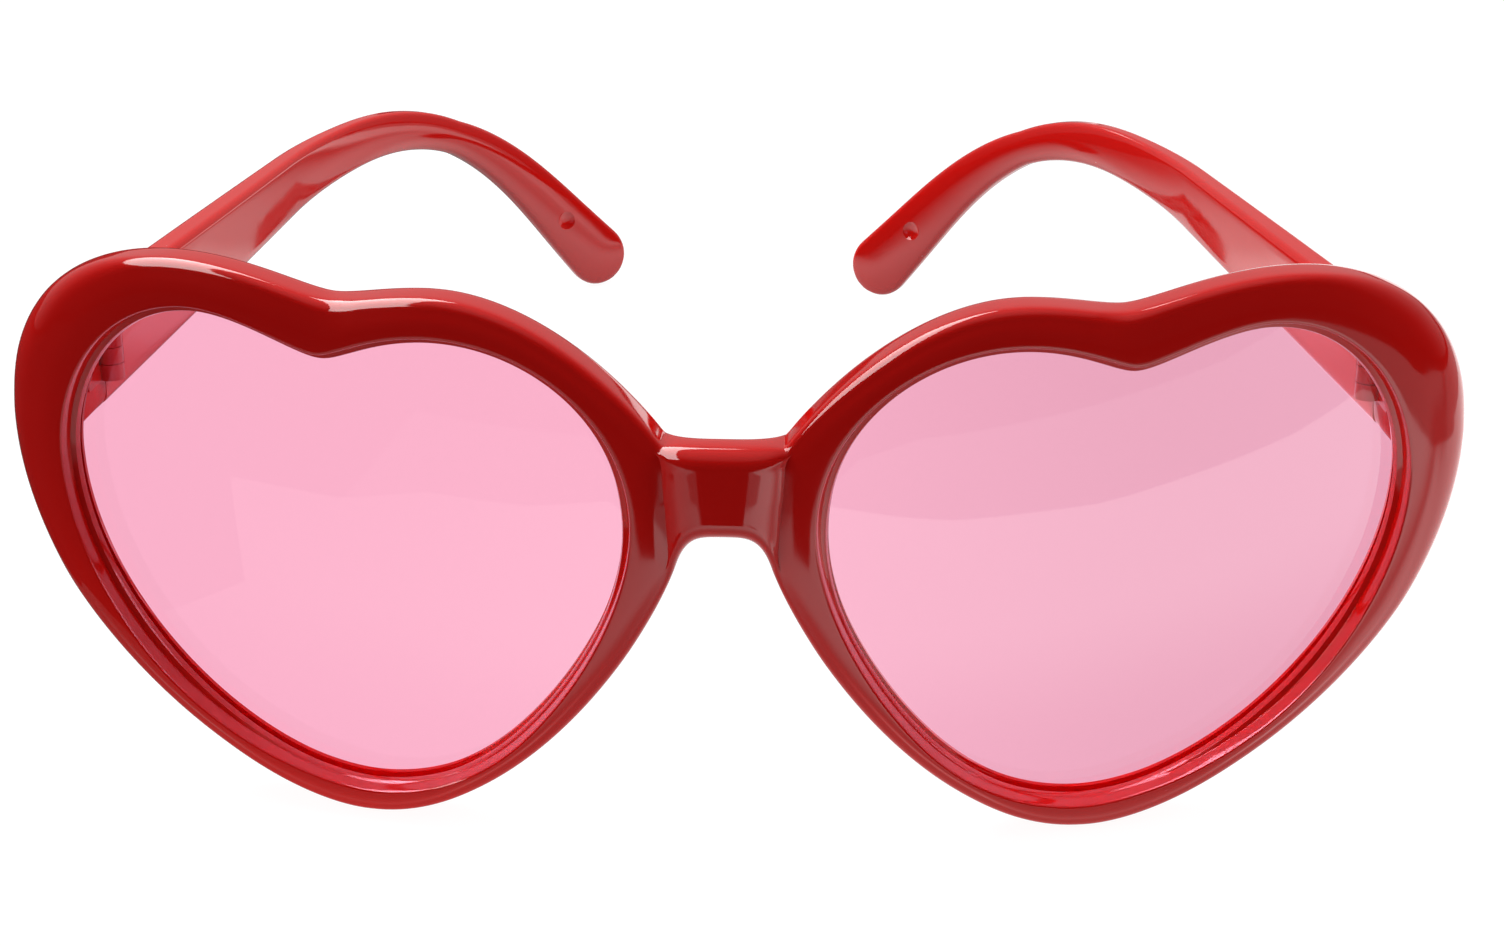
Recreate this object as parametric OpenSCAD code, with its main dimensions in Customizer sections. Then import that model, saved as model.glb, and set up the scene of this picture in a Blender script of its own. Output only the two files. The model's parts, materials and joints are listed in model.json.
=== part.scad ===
// Sunglasses with two heart shaped lenses: a moulded front with a wrapped pair of
// heart rims and a bridge, two tinted lenses snapped into a groove, and two temples
// that fold on screwed barrel hinges. The glasses stand open on their rims and on
// the tips of the temples. Plus X is the wearer's left, minus Y is the front.

/* [Hearts] */
// Width of one heart, from its nose side to its outer side
heart_w = 70.5; // [66:0.1:75]
// Height of one heart, over its outer lobe
heart_h = 57; // [53:0.1:61]
// Distance between the two hearts at their nose sides
heart_gap = 6.4; // [5:0.1:9]
// Radius that the front wraps round the face
wrap_r = 200; // [180:1:400]

/* [Rim] */
// Depth of the rim, front face to back face
rim_depth = 5.9; // [5.6:0.1:7]
// Width of the rim's face on the nose side
rim_nose = 5.8; // [5:0.1:7]
// Width of the rim's face on the outer side
rim_outer = 6.3; // [5.4:0.1:7.2]
// Width of the rim's face over the outer lobe
rim_top = 4.6; // [4:0.1:6]
// Width of the rim's face at the heart's point
rim_bottom = 1.6; // [1.5:0.1:2.6]
// Radius of the rounding along the outside of the front face
edge_r = 2.4; // [1:0.1:2.8]
// Radius of the rounding along the outside of the back face
back_edge_r = 1; // [0.5:0.1:1.2]
// Radius of the small rounding where the front face turns into the opening
lip_edge_r = 0.45; // [0.2:0.05:0.6]
// How far the front face is crowned
face_crown = 0.3; // [0:0.05:0.5]

/* [Lens seat] */
// How far the opening narrows from the front face to the lens
wall_inset = 1.2; // [0.7:0.05:1.3]
// Draft of the wall in front of its small step
step_inset = 0.4; // [0.1:0.05:0.5]
// Depth of that step behind the front face
step_depth = 2; // [1.4:0.1:2.4]
// Depth of the lens behind the front face
lens_depth = 3.2; // [2.8:0.1:3.4]
// Thickness of the lens
lens_t = 1.6; // [1.2:0.1:1.8]
// How deep the groove is cut into the wall
groove_depth = 1.5; // [1:0.05:1.6]
// Clearance round the lens in its groove
lens_clearance = 0.08; // [0.05:0.01:0.15]
// Chamfer along the back edge of the opening
back_chamfer = 0.35; // [0.1:0.05:0.5]

/* [Bridge] */
// Height of the bridge in the middle
bridge_h = 9.7; // [8:0.1:11]
// Depth of the bridge in the middle, front to back
bridge_d = 4.6; // [4:0.1:5.4]
// How far the hearts rise past the top of the bridge where they meet it
bridge_drop = 0.1; // [0:0.1:1.5]
// Corner radius of the bridge's section
bridge_r = 1.5; // [0.8:0.1:2]

/* [Nose pads] */
// Length of a nose pad along the rim
pad_len = 11; // [8:0.5:14]
// Thickness of a nose pad, rim side to nose side
pad_t = 2.6; // [2:0.1:3.2]
// How far a nose pad stands out behind the rim
pad_out = 3.2; // [2:0.1:5]
// Distance from the nose side of the rim to the pad
pad_in = 0.4; // [0.2:0.1:0.6]

/* [End pieces] */
// Distance from the outer side of the front to the inside face of an end piece
end_in = 8.5; // [7.6:0.1:9.4]
// Distance from the top of the outer lobe down to the middle of the hinge
end_down = 14; // [13:0.1:16]
// Distance from the back of the rim to the joint face, measured at the hinge
end_len = 5.6; // [5:0.1:8]
// How far an end piece's root is wider, to its outside, than its joint face
end_flare = 1.5; // [1:0.1:2]
// How far an end piece's root is higher, above and below, than its joint face
end_rise = 0.2; // [0:0.1:0.6]
// How deep an end piece's root is let into the back of the rim
end_sink = 0.5; // [0.2:0.05:0.6]

/* [Temples] */
// Length of a temple along its middle, joint face to tip
temple_len = 142; // [132:1:150]
// Height of a temple at its joint face
temple_h = 11; // [9.5:0.1:12]
// Height of a temple at its slimmest, in the bend over the ear
bend_h = 4.7; // [4:0.1:7]
// Height of the paddle at the tip
paddle_h = 9.2; // [7:0.1:11]
// Thickness of a temple at its joint face
temple_t = 3.6; // [3.2:0.1:4.2]
// Thickness of a temple at its tip
tip_t = 3; // [2.4:0.1:3.6]
// Rounding of a temple's long edges
temple_edge_r = 0.9; // [0.4:0.1:1.1]
// Length of the rounded end of the paddle
tip_round = 5; // [3:0.5:8]
// Distance from the joint face to the middle of the bend over the ear
bend_at = 104; // [96:1:110]
// Length of that bend
bend_len = 52; // [40:1:60]
// Distance from the joint face at which the temple begins to curve inwards
curl_at = 61; // [50:1:75]
// Angle by which the temple rises from the joint towards the bend
rise_angle = 2.8; // [0:0.1:4]
// Angle of the hook, below the line square to the front
hook_angle = 48; // [35:1:55]
// Angle by which the temple curves inwards up to its tip
curl_angle = 51; // [20:1:55]

/* [Pose] */
// Angle that a temple points inwards when it is open against its stop
stop_angle = 2; // [0:0.5:4]
// Angle by which the temple on the minus X side is folded in from its stop
fold_right_angle = 5; // [0:1:50]
// Angle by which the temple on the plus X side is folded in from its stop
fold_left_angle = 10; // [0:1:50]

/* [Hinges] */
// Outer radius of the hinge barrels
barrel_r = 1.3; // [1.1:0.05:1.4]
// Radius of the hinge screw's shank
screw_r = 0.6; // [0.5:0.05:0.7]
// Radial clearance of the screw in the barrels
screw_clearance = 0.04; // [0.02:0.01:0.08]
// Height of one barrel
barrel_h = 1.7; // [1.4:0.1:2]
// Gap between neighbouring barrels
barrel_gap = 0.08; // [0.04:0.01:0.15]
// Length of a hinge leaf from the pin to its far end
leaf_len = 5; // [4.4:0.1:5.2]
// Thickness of a hinge leaf
leaf_t = 0.9; // [0.7:0.05:1]
// How far the pin lies inside the inner face of the temple
pin_inset = 0.75; // [0.65:0.05:0.9]
// Radius of the screw's head
head_r = 1.05; // [0.9:0.05:1.1]
// Thickness of the screw's head
head_t = 0.6; // [0.4:0.05:0.8]
// Width of the slot in the screw's head
slot_w = 0.3; // [0.2:0.05:0.4]
// Gap round a hinge leaf in its pocket, and between the joint faces at the stop
seat_gap = 0.08; // [0.05:0.01:0.15]
// Gap between a moving barrel and the pocket that it turns in
turn_gap = 0.2; // [0.15:0.05:0.3]

/* [Hidden] */
frame_red = [0.72, 0.06, 0.06];
lens_pink = [0.96, 0.55, 0.70, 0.6];
steel = [0.75, 0.75, 0.77];

// A cut runs this far past what it cuts
overrun = 0.5;

// Closed outlines as chains of curves, one anchor and two handles a curve: cleft, inner
// lobe, nose side, point, outer side, outer lobe. Shares of the heart's width and height.
heart_shares = [
  [0.490, 0.946], [0.458, 0.946], [0.413, 0.961],
  [0.355, 0.961], [0.215, 0.961], [0.000, 0.730],
  [0.000, 0.622], [0.000, 0.420], [0.226, 0.000],
  [0.470, 0.000], [0.649, 0.000], [1.000, 0.315],
  [1.000, 0.674], [1.000, 0.898], [0.865, 1.000],
  [0.721, 1.000], [0.613, 1.000], [0.530, 0.946]];
// The same anchors for the opening, as shares of the opening's width and height
opening_shares = [
  [0.517, 0.928], [0.488, 0.928], [0.427, 0.973],
  [0.330, 0.973], [0.161, 0.973], [0.000, 0.826],
  [0.000, 0.616], [0.000, 0.384], [0.226, 0.000],
  [0.458, 0.000], [0.689, 0.000], [1.000, 0.313],
  [1.000, 0.656], [1.000, 0.834], [0.890, 1.000],
  [0.741, 1.000], [0.654, 1.000], [0.555, 0.928]];
// Steps along one curve of an outline, and stations round the heart
curve_n = 16;
station_n = curve_n * len(heart_shares) / 3;
// Shares of the curves beside the nose anchor at which the bridge leaves the heart, and
// share of the curve below it at which the nose pad has its middle
bridge_top_share = 0.75;
bridge_low_share = 0.19;
pad_share = 0.42;
bridge_top_i = curve_n + round(bridge_top_share * curve_n);
bridge_low_i = 2 * curve_n + round(bridge_low_share * curve_n);
pad_i = 2 * curve_n + round(pad_share * curve_n);
// The rim's section keeps its rounding under this share of the rim's width
round_share = 0.62;
// Shares of the way along the bridge, middle to heart, at which it has a section
bridge_shares = [0, 0.3, 0.55, 0.75, 0.9];
// Share of the wall inset that lies above the lens, behind the step
ledge_share = 0.8;

opening_w = heart_w - rim_nose - rim_outer;
opening_h = heart_h - rim_top - rim_bottom;
heart_x = heart_gap / 2;
groove_y0 = lens_depth - lens_clearance;
groove_y1 = lens_depth + lens_t + lens_clearance;

function lerp(a, b, t) = a + (b - a) * t;
function curve(p, t) = pow(1 - t, 3) * p[0] + 3 * pow(1 - t, 2) * t * p[1]
                     + 3 * (1 - t) * t * t * p[2] + pow(t, 3) * p[3];
// Points of an outline whose box starts at a and has the size s
function outline(shares, a, s) = [
  for (k = [0:3:len(shares) - 1]) for (i = [0:curve_n - 1])
    let(p = [for (j = [0:3]) shares[(k + j) % len(shares)]], q = curve(p, i / curve_n))
      [a[0] + q[0] * s[0], a[1] + q[1] * s[1]]];
// Outward normals of a closed outline that runs counter-clockwise
function normals(p) = [for (i = [0:len(p) - 1])
  let(d = p[(i + 1) % len(p)] - p[(i + len(p) - 1) % len(p)]) [d[1], -d[0]] / norm(d)];
// How far the wrap sets a place back
function wrap(x) = wrap_r - sqrt(wrap_r * wrap_r - x * x);

heart = outline(heart_shares, [heart_x, 0], [heart_w, heart_h]);
opening = outline(opening_shares, [heart_x + rim_nose, rim_bottom], [opening_w, opening_h]);
heart_n = normals(heart);
opening_n = normals(opening);

// One section of the rim: places in the plane of the front with their depth behind it
function rim_section(i) =
  let(f = opening[i], a = opening_n[i], o = heart[i], b = heart_n[i],
      r = min(edge_r, round_share * norm(o - f)), br = min(back_edge_r, r),
      inner = f + a * lip_edge_r, outer = o - b * r, lip = f - a * wall_inset)
  [[f, lip_edge_r],
   [f + a * lip_edge_r * (1 - cos(45)), lip_edge_r * (1 - sin(45))],
   [inner, 0],
   [lerp(inner, outer, 1 / 3), -face_crown * 8 / 9],
   [lerp(inner, outer, 2 / 3), -face_crown * 8 / 9],
   [outer, 0],
   [outer + b * r * sin(30), r * (1 - cos(30))],
   [outer + b * r * sin(60), r * (1 - cos(60))],
   [o, r],
   [o, rim_depth - br],
   [o - b * br * (1 - cos(45)), rim_depth - br * (1 - sin(45))],
   [o - b * br, rim_depth],
   [lip + a * back_chamfer, rim_depth],
   [lip, rim_depth - back_chamfer],
   [lip, groove_y1],
   [lip + a * groove_depth, groove_y1],
   [lip + a * groove_depth, groove_y0],
   [lip, groove_y0],
   [f - a * wall_inset * ledge_share, step_depth + (wall_inset - step_inset) / 4],
   [f - a * step_inset, step_depth]];
// Rows of the section between which the bridge leaves the rim
front_row_n = 5;
back_row_n = 11;

function rim_points() = [for (i = [0:station_n - 1]) for (q = rim_section(i))
  [q[0][0], wrap(q[0][0]) + q[1], q[0][1]]];
section_n = len(rim_section(0));
rim_p = rim_points();
function rim_at(i, v) = (i % station_n) * section_n + v % section_n;

// The edge of the patch that the bridge leaves the heart through, once round
patch = concat(
  [for (i = [bridge_top_i:bridge_low_i - 1]) rim_at(i, front_row_n)],
  [for (v = [front_row_n:back_row_n - 1]) rim_at(bridge_low_i, v)],
  [for (i = [bridge_low_i:-1:bridge_top_i + 1]) rim_at(i, back_row_n)],
  [for (v = [back_row_n:-1:front_row_n + 1]) rim_at(bridge_top_i, v)]);
patch_n = len(patch);
side_n = bridge_low_i - bridge_top_i;

// The bridge's middle section, point for point as the patch's edge: depth and height
bridge_z1 = heart[bridge_top_i][1] - bridge_drop;
bridge_z0 = bridge_z1 - bridge_h;
bridge_arc = [[0, 1], [1 - cos(45), 1 - sin(45)], [1, 0]];
bridge_low = concat(
  [for (q = bridge_arc) [q[0] * bridge_r, bridge_z0 + q[1] * bridge_r]],
  [[bridge_d / 2, bridge_z0]],
  [for (k = [2:-1:0]) [bridge_d - bridge_arc[k][0] * bridge_r,
                       bridge_z0 + bridge_arc[k][1] * bridge_r]]);
bridge_high = [for (k = [len(bridge_low) - 1:-1:0])
  [bridge_low[k][0], bridge_z0 + bridge_z1 - bridge_low[k][1]]];
bridge_mid = concat(
  [for (k = [0:side_n - 1]) [-face_crown * sin(180 * k / side_n),
    lerp(bridge_z1 - bridge_r, bridge_z0 + bridge_r, k / side_n)]],
  [for (k = [0:len(bridge_low) - 2]) bridge_low[k]],
  [for (k = [0:side_n - 1]) [bridge_d,
    lerp(bridge_z0 + bridge_r, bridge_z1 - bridge_r, k / side_n)]],
  [for (k = [0:len(bridge_high) - 2]) bridge_high[k]]);
// A section of the bridge at a share t of the way to the heart, on the side s
function bridge_ring(t, s) = [for (k = [0:patch_n - 1])
  let(e = rim_p[patch[k]], m = bridge_mid[k])
    [s * e[0] * t, lerp(m[0], e[1], t * t), lerp(m[1], e[2], t * t * t)]];

// The frame's shell: two mirrored rims, each open at its patch, and the bridge between
module front_shell() {
  rim_count = len(rim_p);
  rings = concat(
    [for (k = [len(bridge_shares) - 1:-1:1]) bridge_ring(bridge_shares[k], 1)],
    [bridge_ring(bridge_shares[0], 1)],
    [for (k = [1:len(bridge_shares) - 1]) bridge_ring(bridge_shares[k], -1)]);
  points = concat(rim_p, [for (p = rim_p) [-p[0], p[1], p[2]]],
                  [for (r = rings) each r]);
  cells = [for (i = [0:station_n - 1]) for (v = [0:section_n - 1])
    if (!(i >= bridge_top_i && i < bridge_low_i && v >= front_row_n && v < back_row_n))
      [rim_at(i, v), rim_at(i, v + 1), rim_at(i + 1, v + 1), rim_at(i + 1, v)]];
  loops = concat([patch],
    [for (r = [0:len(rings) - 1]) [for (k = [0:patch_n - 1]) 2 * rim_count + r * patch_n + k]],
    [[for (k = patch) k + rim_count]]);
  walls = [for (r = [0:len(loops) - 2]) for (k = [0:patch_n - 1])
    let(j = (k + 1) % patch_n)
      [loops[r][k], loops[r][j], loops[r + 1][j], loops[r + 1][k]]];
  quads = concat(cells,
    [for (q = cells) [q[3] + rim_count, q[2] + rim_count, q[1] + rim_count, q[0] + rim_count]],
    walls);
  polyhedron(points, [for (q = quads) each [[q[0], q[1], q[2]], [q[0], q[2], q[3]]]]);
}

// Place and turn of the hinge: the pin stands along the front's height, at the joint face
joint_x = heart_x + heart_w - end_in;
joint_z = heart_h - end_down;
joint_y = wrap(joint_x) + rim_depth + end_len;
pin_x = joint_x - pin_inset;
hinge_h = 3 * barrel_h + 2 * barrel_gap;
module at_pin(fold = 0) {
  translate([pin_x, joint_y, joint_z]) rotate([0, 0, stop_angle + fold]) children();
}
module mirrored(s) {
  if (s < 0) mirror([1, 0, 0]) children();
  else children();
}

// End piece of the plus X side: a tapering block from the back of the rim to the joint
module end_block() {
  r = temple_edge_r;
  hull() {
    at_pin() for (x = [pin_inset + r, pin_inset + temple_t - r])
      for (z = [-1, 1]) translate([x, -seat_gap, z * (temple_h / 2 - r)])
        rotate([90, 0, 0]) cylinder(r = r, h = r, $fn = 24);
    for (x = [joint_x + end_flare / 2 + r, joint_x + end_flare + temple_t - r])
      for (z = [-1, 1]) translate([x, wrap(x) + rim_depth - end_sink + r,
                                   joint_z + z * (temple_h / 2 + end_rise - r)])
        rotate([90, 0, 0]) cylinder(r = r, h = r, $fn = 24);
  }
}
// Channel over the barrels that the screw and its driver come down through
module screw_channel() {
  translate([0, 0, hinge_h / 2])
    cylinder(r = head_r + turn_gap, h = (temple_h - hinge_h) / 2 + end_rise + overrun, $fn = 48);
}
// Room for one hinge leaf and its barrels in the end piece
module front_pocket() {
  at_pin() {
    screw_channel();
    translate([0, -leaf_len - seat_gap, -hinge_h / 2 - seat_gap])
      cube([pin_inset + leaf_t + seat_gap, leaf_len + overrun, hinge_h + 2 * seat_gap]);
    translate([0, -barrel_r - turn_gap, -hinge_h / 2 - seat_gap])
      cube([barrel_r + turn_gap, barrel_r + turn_gap + overrun, hinge_h + 2 * seat_gap]);
  }
}

// Nose pad of the plus X side: a long pad moulded on the back of the rim beside the nose
module nose_pad() {
  p = heart[pad_i] - heart_n[pad_i] * (pad_in + pad_t / 2);
  d = (heart[pad_i + 1] - heart[pad_i - 1]) / norm(heart[pad_i + 1] - heart[pad_i - 1]);
  hull() for (k = [-1, 1]) {
    q = p + d * k * (pad_len - pad_t) / 2;
    for (y = [0, pad_out * (3 + k) / 4 - pad_t / 2])
      translate([q[0], wrap(q[0]) + rim_depth + y, q[1]]) sphere(r = pad_t / 2, $fn = 24);
  }
}

module front_frame() {
  color(frame_red) difference() {
    union() {
      front_shell();
      for (s = [-1, 1]) mirrored(s) {
        end_block();
        nose_pad();
      }
    }
    for (s = [-1, 1]) mirrored(s) front_pocket();
  }
}

// Lens: the opening's outline, let into the groove, cut from a shell that wraps as the rim
lens_grow = groove_depth - wall_inset - lens_clearance;
module lens() {
  tall = opening_h + 4 * groove_depth;
  color(lens_pink) difference() {
    intersection() {
      translate([0, wrap(heart_x + heart_w) + rim_depth, 0]) rotate([90, 0, 0])
        linear_extrude(height = wrap(heart_x + heart_w) + rim_depth)
          polygon([for (i = [0:station_n - 1]) opening[i] + opening_n[i] * lens_grow]);
      translate([0, wrap_r + lens_depth, rim_bottom - 2 * groove_depth])
        cylinder(r = wrap_r, h = tall, $fn = 240);
    }
    translate([0, wrap_r + lens_depth + lens_t, rim_bottom - 2 * groove_depth - overrun])
      cylinder(r = wrap_r, h = tall + 2 * overrun, $fn = 240);
  }
}

// The temple's middle line: turns inwards past curl_at and down through the bend
temple_n = 44;
function ease(u) = let(v = min(max(u, 0), 1)) v * v * (3 - 2 * v);
function dip(s) = lerp(-rise_angle, hook_angle, ease((s - bend_at + bend_len / 2) / bend_len));
function curl(s) = curl_angle * max(0, s - curl_at) / (temple_len - curl_at);
function heading(s) = [-sin(curl(s)) * cos(dip(s)), cos(curl(s)) * cos(dip(s)), -sin(dip(s))];
temple_step = temple_len / temple_n;
temple_line = [for (i = 0, p = [0, 0, 0]; i <= temple_n;
  p = p + heading((i + 0.5) * temple_step) * temple_step, i = i + 1) p];
function height_at(s) = s < bend_at ? lerp(temple_h, bend_h, s / bend_at)
  : lerp(bend_h, paddle_h, (s - bend_at) / (temple_len - bend_at));
function thick_at(s) = lerp(temple_t, tip_t, s / temple_len);
// The rounding of the long edges stays under this share of the temple's thickness
edge_share = 0.45;
// The paddle closes over its last stretch as a quarter of an ellipse
function close_at(s) = let(u = max(0, s - temple_len + tip_round) / tip_round)
  sqrt(max(0, 1 - u * u));
// Points round one corner of a temple's rounded section
corner_n = 3;
function temple_section(h, t, r) = [
  for (c = [0:3]) for (k = [0:corner_n - 1])
    let(sx = (c == 0 || c == 3) ? 1 : -1, sz = c < 2 ? 1 : -1,
        a = 90 * (c + k / (corner_n - 1)))
      [sx * (t / 2 - r) + r * cos(a), sz * (h / 2 - r) + r * sin(a)]];

close_n = 4;
close_angle = 88;
temple_stations = concat([for (i = [0:temple_n - 2]) i * temple_step],
  [for (k = [1:close_n]) temple_len - tip_round * (1 - sin(close_angle * k / close_n))]);
temple_m = 4 * corner_n;
temple_rings = [for (s = temple_stations)
  let(i = min(floor(s / temple_step), temple_n - 1), u = s / temple_step - i,
      c = lerp(temple_line[i], temple_line[i + 1], u),
      e = close_at(s), h = height_at(s) * e, t = thick_at(s) * sqrt(e),
      r = min(temple_edge_r, edge_share * t, edge_share * h),
      tilt = dip(s) * min(1, s / temple_h),
      right = [cos(curl(s)), sin(curl(s)), 0],
      up = [-sin(curl(s)) * sin(tilt), cos(curl(s)) * sin(tilt), cos(tilt)])
    [for (q = temple_section(h, t, r)) c + right * q[0] + up * q[1]]];

module temple_body() {
  m = temple_m;
  n = len(temple_rings);
  sides = [for (i = [0:n - 2]) for (k = [0:m - 1])
    let(a = i * m + k, b = i * m + (k + 1) % m)
      each [[a, b, b + m], [a, b + m, a + m]]];
  polyhedron([for (r = temple_rings) each r], concat(sides,
    [[for (k = [m - 1:-1:0]) k]], [[for (k = [0:m - 1]) (n - 1) * m + k]]));
}
module temple(fold) {
  at_pin(fold) color(frame_red) difference() {
    translate([pin_inset + temple_t / 2, 0, 0]) temple_body();
    screw_channel();
    translate([0, -overrun, -hinge_h / 2 - seat_gap])
      cube([pin_inset + leaf_t + seat_gap, leaf_len + seat_gap + overrun,
            hinge_h + 2 * seat_gap]);
    translate([0, -overrun, -hinge_h / 2 - seat_gap])
      cube([barrel_r + turn_gap, barrel_r + turn_gap + overrun, hinge_h + 2 * seat_gap]);
  }
}

// One barrel on a leaf that lies at the height z, drawn for the temple's side
module knuckle(z) {
  translate([0, 0, z]) {
    cylinder(r = barrel_r, h = barrel_h, $fn = 48);
    translate([pin_inset, 0, 0]) cube([leaf_t, barrel_r + 2 * turn_gap, barrel_h]);
  }
}
module leaf_plate() {
  translate([pin_inset, barrel_r + turn_gap, -hinge_h / 2])
    cube([leaf_t, leaf_len - barrel_r - turn_gap, hinge_h]);
}
module pin_bore() {
  translate([0, 0, -hinge_h / 2 - overrun])
    cylinder(r = screw_r + screw_clearance, h = hinge_h + 2 * overrun, $fn = 48);
}
module front_leaf() {
  at_pin() color(steel) difference() {
    mirror([0, 1, 0]) {
      leaf_plate();
      for (k = [0, 2]) knuckle(-hinge_h / 2 + k * (barrel_h + barrel_gap));
    }
    pin_bore();
  }
}
module temple_leaf(fold) {
  at_pin(fold) color(steel) difference() {
    union() {
      leaf_plate();
      knuckle(-hinge_h / 2 + barrel_h + barrel_gap);
    }
    pin_bore();
  }
}
// Slotted screw through the three barrels, its head on the upper one
module screw() {
  at_pin() color(steel) difference() {
    union() {
      translate([0, 0, -hinge_h / 2]) cylinder(r = screw_r, h = hinge_h + barrel_gap, $fn = 48);
      translate([0, 0, hinge_h / 2]) cylinder(r = head_r, h = head_t, $fn = 48);
    }
    translate([-head_r - overrun, -slot_w / 2, hinge_h / 2 + head_t / 2])
      cube([2 * (head_r + overrun), slot_w, head_t]);
  }
}

// The glasses lean back until their rims and the lower tip stand on one plane. The lean
// is found by halving, and then the whole is set over the middle of its own footprint.
function at_pin_p(p, fold) = let(a = stop_angle + fold, x = p[0] + pin_inset + temple_t / 2)
  [pin_x + x * cos(a) - p[1] * sin(a), joint_y + x * sin(a) + p[1] * cos(a), joint_z + p[2]];
temple_p = [for (f = [fold_right_angle, fold_left_angle]) for (r = temple_rings) for (p = r) at_pin_p(p, f)];
function low(points, a) = min([for (p = points) p[2] * cos(a) - p[1] * sin(a)]);
function far(points, a) = [for (p = points) p[1] * cos(a) + p[2] * sin(a)];
function settle(a, b, n) = let(m = (a + b) / 2) n == 0 ? m
  : low(temple_p, m) > low(rim_p, m) ? settle(m, b, n - 1) : settle(a, m, n - 1);
lean_limit_angle = 30;
halving_n = 24;
lean = settle(-lean_limit_angle, lean_limit_angle, halving_n);
stand_z = -low(rim_p, lean);
stand_y = -(min(far(rim_p, lean)) + max(far(temple_p, lean))) / 2;
module stand() {
  translate([0, stand_y, stand_z]) rotate([-lean, 0, 0]) children();
}

stand() front_frame();
stand() mirrored(-1) lens();  // lens_right
stand() lens();  // lens_left
stand() mirrored(-1) temple(fold_right_angle);  // temple_right
stand() temple(fold_left_angle);  // temple_left
stand() mirrored(-1) front_leaf();  // hinge_front_leaf_right
stand() front_leaf();  // hinge_front_leaf_left
stand() mirrored(-1) temple_leaf(fold_right_angle);  // hinge_temple_leaf_right
stand() temple_leaf(fold_left_angle);  // hinge_temple_leaf_left
stand() mirrored(-1) screw();  // hinge_screw_right
stand() screw();  // hinge_screw_left
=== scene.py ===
"""Dresses a pair of heart shaped sunglasses: one red moulded front, two clear pink lenses,
two red moulded temples and the steel of their hinges, on a white sheet under soft light.

Shapes are worked out in millimetres in the front's own frame: X across, Y back from the
front's apex, Z up along the front. Placement turns them into metres in the model's frame.
"""
import json
import logging
from dataclasses import dataclass, field
from enum import Enum

import bpy
import numpy as np
from mathutils import Matrix


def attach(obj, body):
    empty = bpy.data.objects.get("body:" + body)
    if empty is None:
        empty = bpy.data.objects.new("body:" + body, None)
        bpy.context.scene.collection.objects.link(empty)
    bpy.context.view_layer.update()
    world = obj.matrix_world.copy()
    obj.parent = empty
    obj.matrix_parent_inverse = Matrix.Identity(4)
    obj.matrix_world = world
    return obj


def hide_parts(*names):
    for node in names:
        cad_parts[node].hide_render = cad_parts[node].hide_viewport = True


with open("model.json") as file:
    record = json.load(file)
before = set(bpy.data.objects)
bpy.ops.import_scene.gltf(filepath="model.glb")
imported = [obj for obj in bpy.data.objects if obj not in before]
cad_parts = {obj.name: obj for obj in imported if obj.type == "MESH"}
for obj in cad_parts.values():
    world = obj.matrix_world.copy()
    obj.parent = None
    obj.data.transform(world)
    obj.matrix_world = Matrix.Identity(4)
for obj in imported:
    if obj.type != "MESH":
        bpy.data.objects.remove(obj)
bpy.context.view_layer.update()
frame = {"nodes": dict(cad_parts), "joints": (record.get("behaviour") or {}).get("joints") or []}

LOG = logging.getLogger("glasses")
MM = 0.001
TINY = 1e-6
Array = np.ndarray


class Side(Enum):
    """The wearer's two sides. The value is the sign of X."""

    RIGHT = -1
    LEFT = 1

    @property
    def word(self) -> str:
        """The side's name as the nodes and bodies have it."""
        return self.name.lower()


class Steel(Enum):
    """The steel parts of the hinges, by the start of their nodes' names."""

    FRONT_LEAF = "hinge_front_leaf"
    TEMPLE_LEAF = "hinge_temple_leaf"
    SCREW = "hinge_screw"


def lerp(a: Array, b: Array, t: Array) -> Array:
    """Returns the place a share t of the way from a to b."""
    return a + (b - a) * t


def ease(u: Array) -> Array:
    """Returns the smooth step 3u^2 - 2u^3 of u, held to 0..1."""
    v = np.clip(u, 0, 1)
    return v * v * (3 - 2 * v)


def linear(code: str, alpha: float = 1.0) -> tuple[float, float, float, float]:
    """Turns an sRGB colour into linear light.

    Args:
        code: Six hex digits.
        alpha: The fourth channel.

    Returns:
        Red, green, blue and alpha for a shader's socket.
    """
    c = np.array([int(code[k:k + 2], 16) for k in (0, 2, 4)]) / 255
    low, high = c / 12.92, ((c + 0.055) / 1.055) ** 2.4
    return (*np.where(c <= 0.04045, low, high).tolist(), alpha)


def add(tree: bpy.types.NodeTree, kind: str, values: dict | None = None,
        links: dict | None = None, **settings: object) -> bpy.types.Node:
    """Adds one node with its settings, socket values and incoming links.

    Args:
        tree: The material's or world's node tree.
        kind: The node's type, without its leading "ShaderNode".
        values: Socket name or number, and the value that it gets.
        links: Socket name or number, and the output socket that feeds it.
        **settings: Properties of the node itself.

    Returns:
        The new node.
    """
    node = tree.nodes.new("ShaderNode" + kind)
    for name, value in settings.items():
        setattr(node, name, value)
    for name, value in (values or {}).items():
        node.inputs[name].default_value = value
    for name, source in (links or {}).items():
        tree.links.new(source, node.inputs[name])
    return node


def grid_quads(ids: Array, wrap_rows: bool = False, wrap_cols: bool = False) -> Array:
    """Joins a grid of vertex numbers into four-sided faces.

    Args:
        ids: Vertex numbers, rows by columns.
        wrap_rows: Whether the last row joins the first.
        wrap_cols: Whether the last column joins the first.

    Returns:
        Faces, n by 4, that turn from rows to columns.
    """
    if wrap_rows:
        ids = np.concatenate([ids, ids[:1]], 0)
    if wrap_cols:
        ids = np.concatenate([ids, ids[:, :1]], 1)
    return np.stack([ids[:-1, :-1], ids[:-1, 1:], ids[1:, 1:], ids[1:, :-1]], -1).reshape(-1, 4)


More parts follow.
